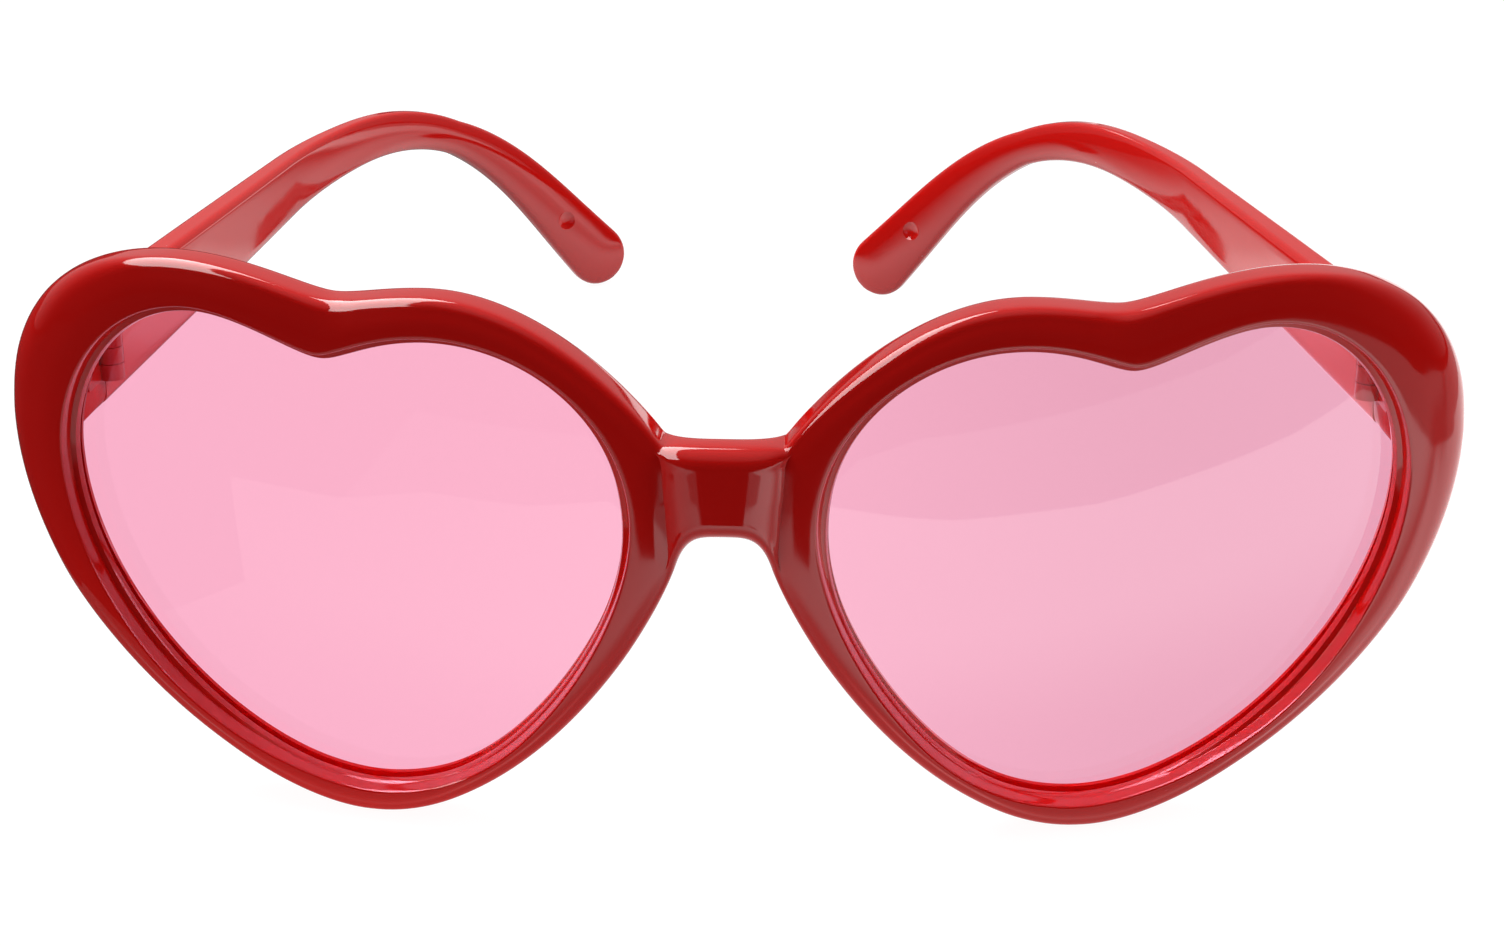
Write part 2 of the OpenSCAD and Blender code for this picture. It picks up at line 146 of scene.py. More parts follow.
def fan(ring: Array, pole: int, turned: bool = False) -> list[list[int]]:
    """Joins a closed ring of vertices to one more with triangles.

    Args:
        ring: The ring's vertex numbers.
        pole: The other vertex's number.
        turned: Whether the triangles run against the ring.

    Returns:
        The triangles.
    """
    pairs = (np.roll(ring, -1), ring) if turned else (ring, np.roll(ring, -1))
    return [[int(a), int(b), pole] for a, b in zip(*pairs)]


def linked(name: str, data: bpy.types.ID) -> bpy.types.Object:
    """Puts a mesh, a lamp or a camera into the scene and returns its object."""
    obj = bpy.data.objects.new(name, data)
    bpy.context.scene.collection.objects.link(obj)
    return obj


def new_piece(name: str, points: Array, faces: list[list[int]],
              turned: bool = False) -> bpy.types.Object:
    """Puts a surface into a new object at the origin.

    Args:
        name: The piece's name.
        points: Places in metres in the model's frame, n by 3.
        faces: Corner numbers of each face.
        turned: Whether the faces are turned over.

    Returns:
        The object, smooth shaded.
    """
    mesh = bpy.data.meshes.new(name)
    mesh.from_pydata(points.tolist(), [], [f[::-1] for f in faces] if turned else faces)
    mesh.polygons.foreach_set("use_smooth", np.ones(len(mesh.polygons), bool))
    mesh.update()
    return linked(name, mesh)


def emptied(block: bpy.types.Material | bpy.types.World) -> bpy.types.NodeTree:
    """Turns on a material's or world's nodes, clears them and returns their tree."""
    block.use_nodes = True
    block.node_tree.nodes.clear()
    return block.node_tree


def settle(piece: bpy.types.Object, sharp_deg: float) -> None:
    """Applies a piece's modifiers and marks its sharp edges.

    Args:
        piece: The piece.
        sharp_deg: Edges between faces that turn by more than this many degrees are sharp.
    """
    graph = bpy.context.evaluated_depsgraph_get()
    mesh = bpy.data.meshes.new_from_object(piece.evaluated_get(graph))
    piece.modifiers.clear()
    old, piece.data = piece.data, mesh
    mesh.name = piece.name
    bpy.data.meshes.remove(old)
    mesh.polygons.foreach_set("use_smooth", np.ones(len(mesh.polygons), bool))
    mesh.set_sharp_from_angle(angle=np.radians(sharp_deg))
    mesh.update()


def carve(piece: bpy.types.Object, cutters: list[bpy.types.Object]) -> None:
    """Cuts closed bodies out of a piece. The cutters stay for the caller to remove."""
    for cutter in cutters:
        cut = piece.modifiers.new(cutter.name, "BOOLEAN")
        cut.operation, cut.solver, cut.object = "DIFFERENCE", "MANIFOLD", cutter


def discard(pieces: list[bpy.types.Object]) -> None:
    """Removes helper objects and their meshes."""
    for piece in pieces:
        bpy.data.meshes.remove(piece.data)


@dataclass(frozen=True)
class Placement:
    """Where the front's own frame stands in the model: a lean about X, and a shift."""

    lean: float
    origin: Array

    @classmethod
    def from_joint(cls, pin: Array) -> "Placement":
        """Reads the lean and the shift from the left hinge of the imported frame.

        Args:
            pin: The left hinge pin's place in the front's own frame, in millimetres.

        Returns:
            The placement.
        """
        joint = next(j for j in frame["joints"] if j["name"] == "fold_left")
        lean = float(np.arctan2(joint["axis"][1], joint["axis"][2]))
        turned = cls(lean, np.zeros(3)).world(pin)
        return cls(lean, np.array(joint["pos_m"]) - turned)

    def turn(self, v: Array) -> Array:
        """Turns directions of the front's own frame into the model's."""
        c, s = np.cos(self.lean), np.sin(self.lean)
        return np.stack([v[..., 0], v[..., 1] * c + v[..., 2] * s,
                         v[..., 2] * c - v[..., 1] * s], -1)

    def world(self, p: Array) -> Array:
        """Turns places in millimetres of the front's own frame into metres in the model's."""
        return self.turn(p) * MM + self.origin


@dataclass(frozen=True)
class HeartOutline:
    """A closed outline of six cubic curves: cleft, inner lobe, nose side, point, outer side,
    outer lobe. Each curve has one anchor and two handles, as shares of the outline's box."""

    shares: tuple[tuple[float, float], ...]
    corner: tuple[float, float]
    size: tuple[float, float]

    def sample(self, per_curve: int) -> tuple[Array, Array]:
        """Samples the Bezier curves and their derivatives at even parameters.

        Args:
            per_curve: Steps along each curve.

        Returns:
            Places and outward normals, each n by 2, counter-clockwise on the plus X side.
        """
        p = np.array(self.shares) * self.size + self.corner
        k = np.arange(0, len(p), 3)[:, None]
        q = [p[(k + j) % len(p)] for j in range(4)]
        t = (np.arange(per_curve) / per_curve)[None, :, None]
        u = 1 - t
        place = u**3 * q[0] + 3 * u * u * t * q[1] + 3 * u * t * t * q[2] + t**3 * q[3]
        run = u * u * (q[1] - q[0]) + 2 * u * t * (q[2] - q[1]) + t * t * (q[3] - q[2])
        run = run.reshape(-1, 2)
        run /= np.linalg.norm(run, axis=1, keepdims=True)
        return place.reshape(-1, 2), np.stack([run[:, 1], -run[:, 0]], -1)


@dataclass(frozen=True)
class FrontForm:
    """Sizes of the front that its moulding, its lenses and its hinges share."""

    heart_w: float = 70.5
    heart_h: float = 57.0
    heart_gap: float = 6.4
    wrap_r: float = 200.0
    rim_depth: float = 5.9
    rim_nose: float = 5.8
    rim_outer: float = 6.3
    rim_top: float = 4.6
    rim_bottom: float = 1.6
    lens_depth: float = 3.2
    lens_t: float = 1.6
    clearance: float = 0.08
    end_in: float = 8.5
    end_down: float = 14.0
    end_len: float = 5.6
    pin_inset: float = 0.75
    stop_deg: float = 2.0
    heart_shares: tuple[tuple[float, float], ...] = (
        (0.490, 0.946), (0.458, 0.946), (0.413, 0.961), (0.355, 0.961), (0.172, 0.961),
        (0.000, 0.700), (0.000, 0.622), (0.000, 0.440), (0.226, 0.000), (0.470, 0.000),
        (0.649, 0.000), (1.000, 0.315), (1.000, 0.674), (1.000, 0.898), (0.865, 0.998),
        (0.721, 0.998), (0.613, 0.998), (0.530, 0.946))
    opening_shares: tuple[tuple[float, float], ...] = (
        (0.517, 0.928), (0.488, 0.928), (0.427, 0.973), (0.330, 0.973), (0.161, 0.973),
        (0.000, 0.826), (0.000, 0.616), (0.000, 0.384), (0.226, 0.000), (0.458, 0.000),
        (0.689, 0.000), (1.000, 0.313), (1.000, 0.656), (1.000, 0.834), (0.890, 1.000),
        (0.741, 1.000), (0.654, 1.000), (0.555, 0.928))

    def wrap(self, x: Array) -> Array:
        """How far the wrap sets a place back: R - sqrt(R^2 - x^2)."""
        return self.wrap_r - np.sqrt(self.wrap_r**2 - x * x)

    @property
    def heart(self) -> HeartOutline:
        """The outside of the plus X rim."""
        return HeartOutline(self.heart_shares, (self.heart_gap / 2, 0.0),
                            (self.heart_w, self.heart_h))

    @property
    def opening(self) -> HeartOutline:
        """The opening of the plus X rim at the front face."""
        return HeartOutline(self.opening_shares,
                            (self.heart_gap / 2 + self.rim_nose, self.rim_bottom),
                            (self.heart_w - self.rim_nose - self.rim_outer,
                             self.heart_h - self.rim_top - self.rim_bottom))

    @property
    def joint(self) -> Array:
        """The inner edge of the left joint face, at the hinge's height."""
        x = self.heart_gap / 2 + self.heart_w - self.end_in
        return np.array([x, self.wrap(x) + self.rim_depth + self.end_len,
                         self.heart_h - self.end_down])

    @property
    def pin(self) -> Array:
        """The left hinge pin's middle."""
        return self.joint - [self.pin_inset, 0, 0]

    def at_pin(self, p: Array, fold_deg: float, side: Side) -> Array:
        """Turns places round the left hinge pin into the front's own frame.

        Args:
            p: Places from the pin, with the temple running along plus Y.
            fold_deg: Angle by which the temple is folded in from its stop.
            side: The side that the places end up on.

        Returns:
            Places in the front's own frame.
        """
        a = np.radians(self.stop_deg + fold_deg)
        x = p[..., 0] * np.cos(a) - p[..., 1] * np.sin(a) + self.pin[0]
        y = p[..., 0] * np.sin(a) + p[..., 1] * np.cos(a) + self.pin[1]
        return np.stack([x * side.value, y, p[..., 2] + self.pin[2]], -1)


@dataclass(frozen=True)
class HingeRoom:
    """Room that the steel leaves, barrels and screw need in the plastic, in millimetres."""

    barrel_r: float = 1.3
    barrel_h: float = 1.7
    barrel_gap: float = 0.08
    leaf_len: float = 5.0
    leaf_t: float = 0.9
    head_r: float = 1.05
    seat_gap: float = 0.08
    turn_gap: float = 0.2
    overrun: float = 0.5
    channel_top: float = 7.0
    channel_n: int = 48

    def cutters(self, form: FrontForm, place: Placement, side: Side, fold_deg: float,
                along: int) -> list[bpy.types.Object]:
        """Builds the leaf's pocket, the barrels' pocket and the screw's channel.

        Args:
            form: The front's sizes.
            place: Where the front stands.
            side: The side of the glasses.
            fold_deg: The fold at rest of what is cut.
            along: 1 for the temple behind the pin, -1 for the end piece before it.

        Returns:
            Three closed bodies.
        """
        half = (3 * self.barrel_h + 2 * self.barrel_gap) / 2
        tall = half + self.seat_gap
        leaf = self.leaf_len + self.seat_gap
        barrel = self.barrel_r + self.turn_gap
        depth = form.pin_inset + self.leaf_t + self.seat_gap
        boxes = []
        for x, y in ((depth, leaf), (barrel, barrel)):
            u = np.array([[0, 0], [1, 0], [1, 1], [0, 1]], float)
            y0, y1 = sorted((-self.overrun * along, y * along))
            ring = np.stack([lerp(-self.overrun, x, u[:, 0]), lerp(y0, y1, u[:, 1])], -1)
            boxes.append((ring, -tall, tall))
        a = np.arange(self.channel_n) / self.channel_n * 2 * np.pi
        r = self.head_r + self.turn_gap
        boxes.append((np.stack([np.cos(a), np.sin(a)], -1) * r, half, self.channel_top))
        pieces = []
        for k, (ring, z0, z1) in enumerate(boxes):
            n = len(ring)
            p = np.concatenate([np.column_stack([ring, np.full(n, z)]) for z in (z0, z1)])
            p = place.world(form.at_pin(p, fold_deg, side))
            ids = np.arange(2 * n).reshape(2, n)
            faces = grid_quads(ids, wrap_cols=True).tolist()
            faces += [ids[0][::-1].tolist(), ids[1].tolist()]
            pieces.append(new_piece(f"cutter_{side.word}_{k}", p, faces, side is Side.RIGHT))
        return pieces


class Cage:
    """Vertices and quads of one half of the front, and the creases of its edges."""

    def __init__(self) -> None:
        """Starts with nothing."""
        self.points: list[Array] = []
        self.quads: list[Array] = []
        self.creases: list[tuple[Array, Array, float]] = []
        self.count = 0

    def put(self, points: Array) -> Array:
        """Adds places and returns their vertex numbers in the same grid."""
        flat = points.reshape(-1, 3)
        ids = np.arange(self.count, self.count + len(flat)).reshape(points.shape[:-1])
        self.points.append(flat)
        self.count += len(flat)
        return ids

    def loops(self, loops: Array) -> None:
        """Joins closed loops, each with as many vertices, into walls that face outwards."""
        self.quads.append(grid_quads(loops, wrap_cols=True)[:, ::-1])

    def crease(self, ids: Array, value: float) -> None:
        """Creases the closed chain of edges through the vertices."""
        self.creases.append((ids, np.roll(ids, -1), value))

    def mirrored(self, middle: Array) -> tuple[Array, Array, list[tuple[Array, Array, float]]]:
        """Doubles the half across X = 0.

        Args:
            middle: Vertices that lie on X = 0 and that both halves share.

        Returns:
            Places, faces and creases of the whole.
        """
        p = np.concatenate(self.points)
        q = np.concatenate(self.quads)
        keep = np.ones(len(p), bool)
        keep[middle] = False
        twin = np.arange(len(p))
        twin[keep] = len(p) + np.arange(keep.sum())
        whole = np.concatenate([p, p[keep] * [-1, 1, 1]])
        faces = np.concatenate([q, twin[q][:, ::-1]])
        used, number = np.unique(faces, return_inverse=True)
        new = np.zeros(len(whole), int)
        new[used] = np.arange(len(used))
        creases = self.creases + [(twin[a], twin[b], c) for a, b, c in self.creases]
        return whole[used], number.reshape(faces.shape), [(new[a], new[b], c) for a, b, c in creases]


@dataclass
class FrontMoulding:
    """Both rims, the bridge, the end pieces and the nose pads in one closed surface.

    The rim is a section carried round the heart. The bridge and the end pieces leave it
    through openings in that grid, and one subdivision rounds the whole.
    """

    form: FrontForm
    place: Placement
    room: HingeRoom = field(default_factory=HingeRoom)
    edge_r: float = 1.2
    edge_r_max: float = 3.5
    edge_gain: float = 0.95
    edge_from: float = 3.8
    back_edge_r: float = 1.0
    lip_r: float = 0.2
    crown: float = 0.4
    round_share: float = 0.62
    wall_inset: float = 1.2
    wall_relief: float = 0.8
    relief_span: tuple[float, float, float, float] = (1.9, 2.3, 2.6, 3.1)
    sill: float = 1.1
    sill_span: tuple[float, float, float, float] = (2.6, 3.0, 3.1, 3.6)
    least_inset: float = 0.15
    step_share: float = 0.33
    step_depth: float = 2.0
    ledge_share: float = 0.8
    ledge_drop: float = 0.2
    groove_depth: float = 1.5
    back_chamfer: float = 0.35
    bridge_h: float = 9.2
    bridge_d: float = 4.6
    bridge_top: float = 41.4
    bridge_r: float = 1.5
    bridge_bulge: float = 1.3
    bridge_line: tuple[float, float] = (5.2, 6.0)
    bridge_from: int = 55
    bridge_to: int = 70
    bridge_fade: int = 10
    bridge_edge_r: float = 0.8
    bridge_power: tuple[float, float] = (4.3, 6.0)
    bridge_shares: tuple[float, ...] = (0.96, 0.91, 0.85, 0.78, 0.68, 0.56, 0.43, 0.29, 0.15, 0.0)
    barrel_power: float = 4.0
    turn_share: float = 0.4
    least_slope: float = 0.3
    pad_at_share: float = 0.42
    pad_len: float = 11.0
    pad_t: float = 2.6
    pad_out: float = 3.2
    pad_in: float = 0.4
    pad_top_share: float = 0.5
    pad_along: tuple[float, float] = (1.25, 0.5)
    pad_across: tuple[float, float] = (1.9, 1.3)
    temple_t: float = 3.6
    temple_h: float = 11.0
    end_cut: float = 0.27
    end_shares: tuple[float, ...] = (0.1, 0.3, 0.55, 0.8, 0.94)
    end_power: float = 2.2
    end_crease: float = 0.7
    creases: tuple[tuple[str, float], ...] = (
        ("groove1", 1.0), ("groove2", 1.0), ("groove3", 1.0), ("groove4", 0.9),
        ("ledge", 0.4), ("step", 0.6), ("wall", 0.4), ("chamfer", 0.4))
    sharp_deg: float = 26.0
    per_curve: int = 32
    face_n: int = 7
    round_n: int = 5
    back_n: int = 7

    def _rows(self) -> tuple[Array, Array, dict[str, int]]:
        """Works out the rim's section at each station.

        A row is a place on the opening or on the outside, moved along that outline's
        normal, with its depth behind the front: roundings are quarter circles, the face
        falls back as the cube of the way across, and the wall narrows to the lens, less so
        on the nose's side. Round the heart's point the face reaches further in, as a sill.

        Returns:
            Places (stations, rows, 2), depths (stations, rows) and each name's last row.
        """
        f, a = self.form.opening.sample(self.per_curve)
        o, b = self.form.heart.sample(self.per_curve)
        n = len(f)
        width = np.linalg.norm(o - f, axis=1, keepdims=True)
        r = np.clip(self.edge_gain * (width - self.edge_from), self.edge_r, self.edge_r_max)
        r = self._edge_radius(o, b, np.minimum(r, self.round_share * width))
        br = np.minimum(self.back_edge_r, r)
        groove = f + a * (self.groove_depth - self.wall_inset)
        sill = self.sill * self._along(n, self.sill_span)
        inset = self.wall_inset - self.wall_relief * self._along(n, self.relief_span)
        inset = np.maximum(inset - sill, self.least_inset)
        f = f - a * sill
        lip = f - a * inset
        inner, outer = f + a * self.lip_r, o - b * r
        depth = self.form.rim_depth
        y1 = self.form.lens_depth + self.form.lens_t + self.form.clearance
        y0 = self.form.lens_depth - self.form.clearance
        rows: list[tuple[Array, Array]] = []
        names: dict[str, int] = {}

        def row(name: str, place: Array, y: Array | float) -> None:
            """Adds one row."""
            names[name] = len(rows)
            rows.append((place, np.broadcast_to(np.asarray(y, float).reshape(-1), (n,))))

        for t in np.radians((0, 45)):
            row("lip", f + a * self.lip_r * (1 - np.cos(t)), self.lip_r * (1 - np.sin(t)))
        for u in np.linspace(0, 1, self.face_n):
            row("face", lerp(inner, outer, u), self.crown * u**3)
        for t in np.radians(np.linspace(0, 90, self.round_n)[1:]):
            row("round", outer + b * r * np.sin(t), self.crown + r * (1 - np.cos(t)))
        row("side", o, (self.crown + r + depth - br) / 2)
        for t in np.radians((0, 30, 60, 90)):
            row("back", o - b * br * (1 - np.cos(t)), depth - br * (1 - np.sin(t)))
        for u in np.linspace(0, 1, self.back_n)[1:]:
            row("chamfer", lerp(o - b * br, lip + a * self.back_chamfer, u), depth)
        for name, place, y in (
                ("wall", lip, depth - self.back_chamfer), ("groove1", lip, y1),
                ("groove2", groove, y1), ("groove3", groove, y0), ("groove4", lip, y0),
                ("ledge", f - a * inset * self.ledge_share, self.step_depth + self.ledge_drop),
                ("step", f - a * inset * self.step_share, self.step_depth),
                ("riser", f - a * inset * self.step_share / 2, (self.step_depth + self.lip_r) / 2)):
            row(name, place, y)
        places = np.stack([p for p, _ in rows], 1)
        depths = np.stack([y for _, y in rows], 1)
        return places, depths, names

    def _along(self, n: int, span: tuple[float, float, float, float]) -> Array:
        """Rises from 0 to 1 and falls back along the outline.

        Args:
            n: Number of stations.
            span: Where it starts, is up, starts to fall and is down, counted in curves.

        Returns:
            The share at each station (stations, 1).
        """
        u = (np.arange(n) / self.per_curve)[:, None]
        return ease((u - span[0]) / (span[1] - span[0])) * ease((span[3] - u) / (span[3] - span[2]))

    def _edge_radius(self, o: Array, b: Array, r: Array) -> Array:
        """Narrows the rim's outer rounding where the bridge meets the face.

        Between the bridge's stations the face ends on a nearly upright line; on both
        sides of them the rounding grows back to its own radius.

        Args:
            o: Places on the heart's outline (stations, 2).
            b: Its outward normals.
            r: The radius elsewhere (stations, 1).

        Returns:
            The radius at each station.
        """
        i = np.arange(len(o))
        low, high = o[self.bridge_to, 1], o[self.bridge_from, 1]
        line = lerp(*self.bridge_line, np.clip((o[:, 1] - low) / (high - low), 0, 1))
        tight = np.clip((line - o[:, 0]) / np.maximum(-b[:, 0], self.least_slope),
                        self.bridge_edge_r, self.edge_r_max)
        away = np.maximum(self.bridge_from - i, i - self.bridge_to) / self.bridge_fade
        return lerp(tight[:, None], r, ease(away)[:, None])

    def _pad(self, places: Array, rows: slice) -> Array:
        """Works out how far the nose pad swells out of the back face.

        The swelling is a smooth hump across the rim times a longer one along it, and it
        grows from a share of its height at its upper end to the whole at its lower end.

        Args:
            places: The section's places (stations, rows, 2).
            rows: The rows of the back face.

        Returns:
            The swelling in millimetres (stations, rows of the back face).
        """
        o, b = self.form.heart.sample(self.per_curve)
        i = 2 * self.per_curve + round(self.pad_at_share * self.per_curve)
        along = np.array([-b[i][1], b[i][0]])
        mid = o[i] - b[i] * (self.pad_in + self.pad_t / 2)
        d = places[:, rows] - mid
        s, w = d @ along, d @ b[i]
        hump = 1.0
        for at, size, (end, fade) in ((s, self.pad_len, self.pad_along),
                                      (w, self.pad_t, self.pad_across)):
            hump = hump * ease((end - np.abs(at) / (size / 2)) / fade)
        rise = lerp(self.pad_top_share, 1.0, np.clip(s / self.pad_len + 0.5, 0, 1))
        return self.pad_out * hump * rise

    def _bridge(self, cage: Cage, rim: Array, points: Array, names: dict[str, int]) -> Array:
        """Leads the bridge from the heart's nose side to X = 0.

        The middle section is a rounded rectangle with as many points as the opening's
        edge. A section a share t of the way to the heart keeps x in proportion to t. Its
        depth turns as a power of t into that of the opening's edge, so the front is a
        barrel, and its height as a higher power, the fillets: a wide arch under the bridge
        and a tight corner over it.

        Args:
            cage: The half's cage.
            rim: Vertex numbers of the rim (stations, rows).
            points: Places of the rim (stations, rows, 3).
            names: The rows' names.

        Returns:
            Vertices on X = 0.
        """
        i0, i1 = self.bridge_from, self.bridge_to
        v0, v1 = names["face"], names["back"]
        edge = self._edge(i0, i1, v0, v1)
        e = points[edge[:, 0], edge[:, 1]]
        side, deep = i1 - i0, v1 - v0
        z1 = self.bridge_top
        z0, r, d = z1 - self.bridge_h, self.bridge_r, self.bridge_d
        down = np.linspace(z1 - r, z0 + r, side + 1)[:-1]
        front = np.column_stack([np.full(side, -self.bridge_bulge), down])
        t, k = np.linspace(0, 1, deep + 1), self.turn_share
        turn = np.clip(t / k, 0, 1) * np.pi / 2
        back = np.clip((t - 1 + k) / k, 0, 1) * np.pi / 2
        flat = np.clip((t - k) / (1 - 2 * k), 0, 1)
        y = r * (1 - np.cos(turn)) + (d - 2 * r) * flat + r * np.sin(back)
        y -= self.bridge_bulge * (1 - t)
        z = z0 + r * (1 - np.sin(turn)) + r * (1 - np.cos(back))
        low = np.column_stack([y, z])[:-1]
        rear = np.column_stack([np.full(side, d), down[::-1] - (down[-1] - z0 - r)])
        high = np.column_stack([y[::-1], z0 + z1 - z[::-1]])[:-1]
        m = np.concatenate([front, low, rear, high])
        power = lerp(*self.bridge_power, ease((m[:, 1] - z0) / self.bridge_h))
        loops = [rim[edge[:, 0], edge[:, 1]]]
        for t in self.bridge_shares:
            ring = np.column_stack([e[:, 0] * t, lerp(m[:, 0], e[:, 1], t**self.barrel_power),
                                    lerp(m[:, 1], e[:, 2], t**power)])
            loops.append(cage.put(ring))
        cage.loops(np.stack(loops))
        cage.creases.append((loops[0][:side], loops[0][1:side + 1], 1.0))
        return loops[-1]

    @staticmethod
    def _edge(i0: int, i1: int, v0: int, v1: int) -> Array:
        """Walks once round a block of the rim's grid.

        Returns:
            Station and row of each vertex, n by 2.
        """
        i, v = np.arange(i0, i1), np.arange(v0, v1)
        return np.concatenate([
            np.column_stack([i, np.full(len(i), v0)]),
            np.column_stack([np.full(len(v), i1), v]),
            np.column_stack([i[::-1] + 1, np.full(len(i), v1)]),
            np.column_stack([np.full(len(v), i0), v[::-1] + 1])])

    def _end_piece(self, cage: Cage, rim: Array, points: Array, block: tuple[int, ...]) -> None:
        """Leads an end piece from an opening in the rim's back to the joint face.

        Each loop is the opening's edge moved a share of the way to the joint face, a
        rectangle with cut corners, and the last is filled by the even grid between them.

        Args:
            cage: The half's cage.
            rim: Vertex numbers of the rim (stations, rows).
            points: Places of the rim (stations, rows, 3).
            block: First and last station, first and last row of the opening.
        """
        i0, i1, v0, v1 = block
        edge = self._edge(*block)
        e = points[edge[:, 0], edge[:, 1]]
        v = (edge[:, 0] - i0) / (i1 - i0)
        u = (edge[:, 1] - v0) / (v1 - v0)
        x0, h = self.form.pin_inset, self.temple_h / 2

        def face(u: Array, v: Array, y: Array | float) -> Array:
            """Places on a section of the end piece across the pin's frame."""
            corner = (np.minimum(u, 1 - u) < TINY) & (np.minimum(v, 1 - v) < TINY)
            cut = np.where(corner, self.end_cut, 0)
            x = lerp(x0 + self.temple_t, x0, u) - np.sign(0.5 - u) * cut
            z = lerp(-h, h, v) - np.sign(v - 0.5) * cut
            p = np.stack([x, np.broadcast_to(y, x.shape), z], -1)
            return self.form.at_pin(p, 0.0, Side.LEFT)

        start = face(u, v, -self.form.end_len)
        end = face(u, v, -self.room.seat_gap)
        loops = [rim[edge[:, 0], edge[:, 1]]]
        for t in self.end_shares:
            flare = (1 - t) ** self.end_power
            loops.append(cage.put(lerp(lerp(start, end, t), e + (end - start) * t, flare)))
        grid_v, grid_u = np.meshgrid(np.linspace(0, 1, i1 - i0 + 1),
                                     np.linspace(0, 1, v1 - v0 + 1), indexing="ij")
        cap = cage.put(face(grid_u, grid_v, -self.room.seat_gap))
        loops.append(cap[edge[:, 0] - i0, edge[:, 1] - v0])
        cage.loops(np.stack(loops))
        cage.crease(loops[-1], self.end_crease)
        cage.quads.append(grid_quads(cap))

    def build(self) -> bpy.types.Object:
        """Builds the moulding and cuts the hinges' room into it.

        Returns:
            The finished piece.
        """
        form = self.form
        places, depths, names = self._rows()
        back = slice(names["back"], names["chamfer"])
        depths = depths.copy()
        depths[:, back] += self._pad(places, back)
        x = places[..., 0]
        points = np.stack([x, form.wrap(x) + depths, places[..., 1]], -1)
        cage = Cage()
        rim = cage.put(points)
        n, m = rim.shape
        o = form.heart.sample(self.per_curve)[0]
        half = self.temple_h / 2
        outer = np.arange(3 * self.per_curve + self.per_curve // 2, 5 * self.per_curve)
        i0, i1 = (outer[np.argmin(np.abs(o[outer, 1] - form.joint[2] - d))] for d in (-half, half))
        block = (int(i0), int(i1), names["back"] - 1, names["chamfer"] - 1)
        cells = grid_quads(rim, True, True).reshape(n, m, 4)
        open_cell = np.zeros((n, m), bool)
        open_cell[self.bridge_from:self.bridge_to, names["face"]:names["back"]] = True
        open_cell[block[0]:block[1], block[2]:block[3]] = True
        cage.quads.append(cells[~open_cell])
        for name, value in self.creases:
            cage.crease(rim[:, names[name]], value)
        middle = self._bridge(cage, rim, points, names)
        self._end_piece(cage, rim, points, block)
        whole, quads, creases = cage.mirrored(middle)
        piece = new_piece("front_moulding", self.place.world(whole), quads.tolist())
        self._set_creases(piece.data, creases)
        smooth = piece.modifiers.new("round", "SUBSURF")
        smooth.levels = smooth.render_levels = 1
        cutters = [c for side in Side
                   for c in self.room.cutters(form, self.place, side, 0.0, -1)]
        carve(piece, cutters)
        settle(piece, self.sharp_deg)
        discard(cutters)
        return piece

    @staticmethod
    def _set_creases(mesh: bpy.types.Mesh, creases: list[tuple[Array, Array, float]]) -> None:
        """Writes the creases onto the mesh's edges.

        Args:
            mesh: The cage's mesh.
            creases: Start vertices, end vertices and value of each set of edges.
        """
        pairs = np.zeros(len(mesh.edges) * 2, int)
        mesh.edges.foreach_get("vertices", pairs)
        pairs = np.sort(pairs.reshape(-1, 2), 1)
        key = pairs[:, 0] * len(mesh.vertices) + pairs[:, 1]
        values = np.zeros(len(key), np.float32)
        for a, b, value in creases:
            wanted = np.minimum(a, b) * len(mesh.vertices) + np.maximum(a, b)
            values[np.isin(key, wanted)] = value
        layer = mesh.attributes.new("crease_edge", "FLOAT", "EDGE")
        layer.data.foreach_set("value", values)


@dataclass
class Lens:
    """One lens: a wrapped sheet of even thickness with a fine bevel round its edge."""

    form: FrontForm
    place: Placement
    grow: float = 0.22
    bevel: float = 0.15
    sharp_deg: float = 30.0
    per_curve: int = 32
    ring_n: int = 14

    def build(self, side: Side) -> bpy.types.Object:
        """Builds the lens.

        A place is the outline drawn towards its middle by a share, and its depth is the
        wrap's at that x, so both faces are cylinders round the same axis as the rim.

        Args:
            side: The wearer's side.

        Returns:
            The finished piece.
        """
        o, b = self.form.opening.sample(self.per_curve)
        edge = o + b * self.grow
        mid = (edge.max(0) + edge.min(0)) / 2
        n = len(edge)
        front, back = self.form.lens_depth, self.form.lens_depth + self.form.lens_t
        share = np.sin(np.linspace(0, 1, self.ring_n + 1)[1:] * np.pi / 2)
        flat = edge - b * self.bevel
        rings = [(lerp(mid, flat, s), front) for s in share]
        rings += [(edge, front + self.bevel), (edge, back - self.bevel)]
        rings += [(lerp(mid, flat, s), back) for s in share[::-1]]
        p = np.stack([np.column_stack([q[:, 0], self.form.wrap(q[:, 0]) + y, q[:, 1]])
                      for q, y in rings])
        ids = np.arange(p.shape[0] * n).reshape(p.shape[0], n)
        poles = np.array([[mid[0], self.form.wrap(mid[0]) + y, mid[1]] for y in (front, back)])
        faces = grid_quads(ids, wrap_cols=True)[:, ::-1].tolist()
        faces += fan(ids[0], ids.size) + fan(ids[-1], ids.size + 1, turned=True)
        points = np.concatenate([p.reshape(-1, 3), poles]) * [side.value, 1, 1]
        piece = new_piece(f"tinted_lens_{side.word}", self.place.world(points), faces,
                          side is Side.RIGHT)
        piece.data.set_sharp_from_angle(angle=np.radians(self.sharp_deg))
        return piece


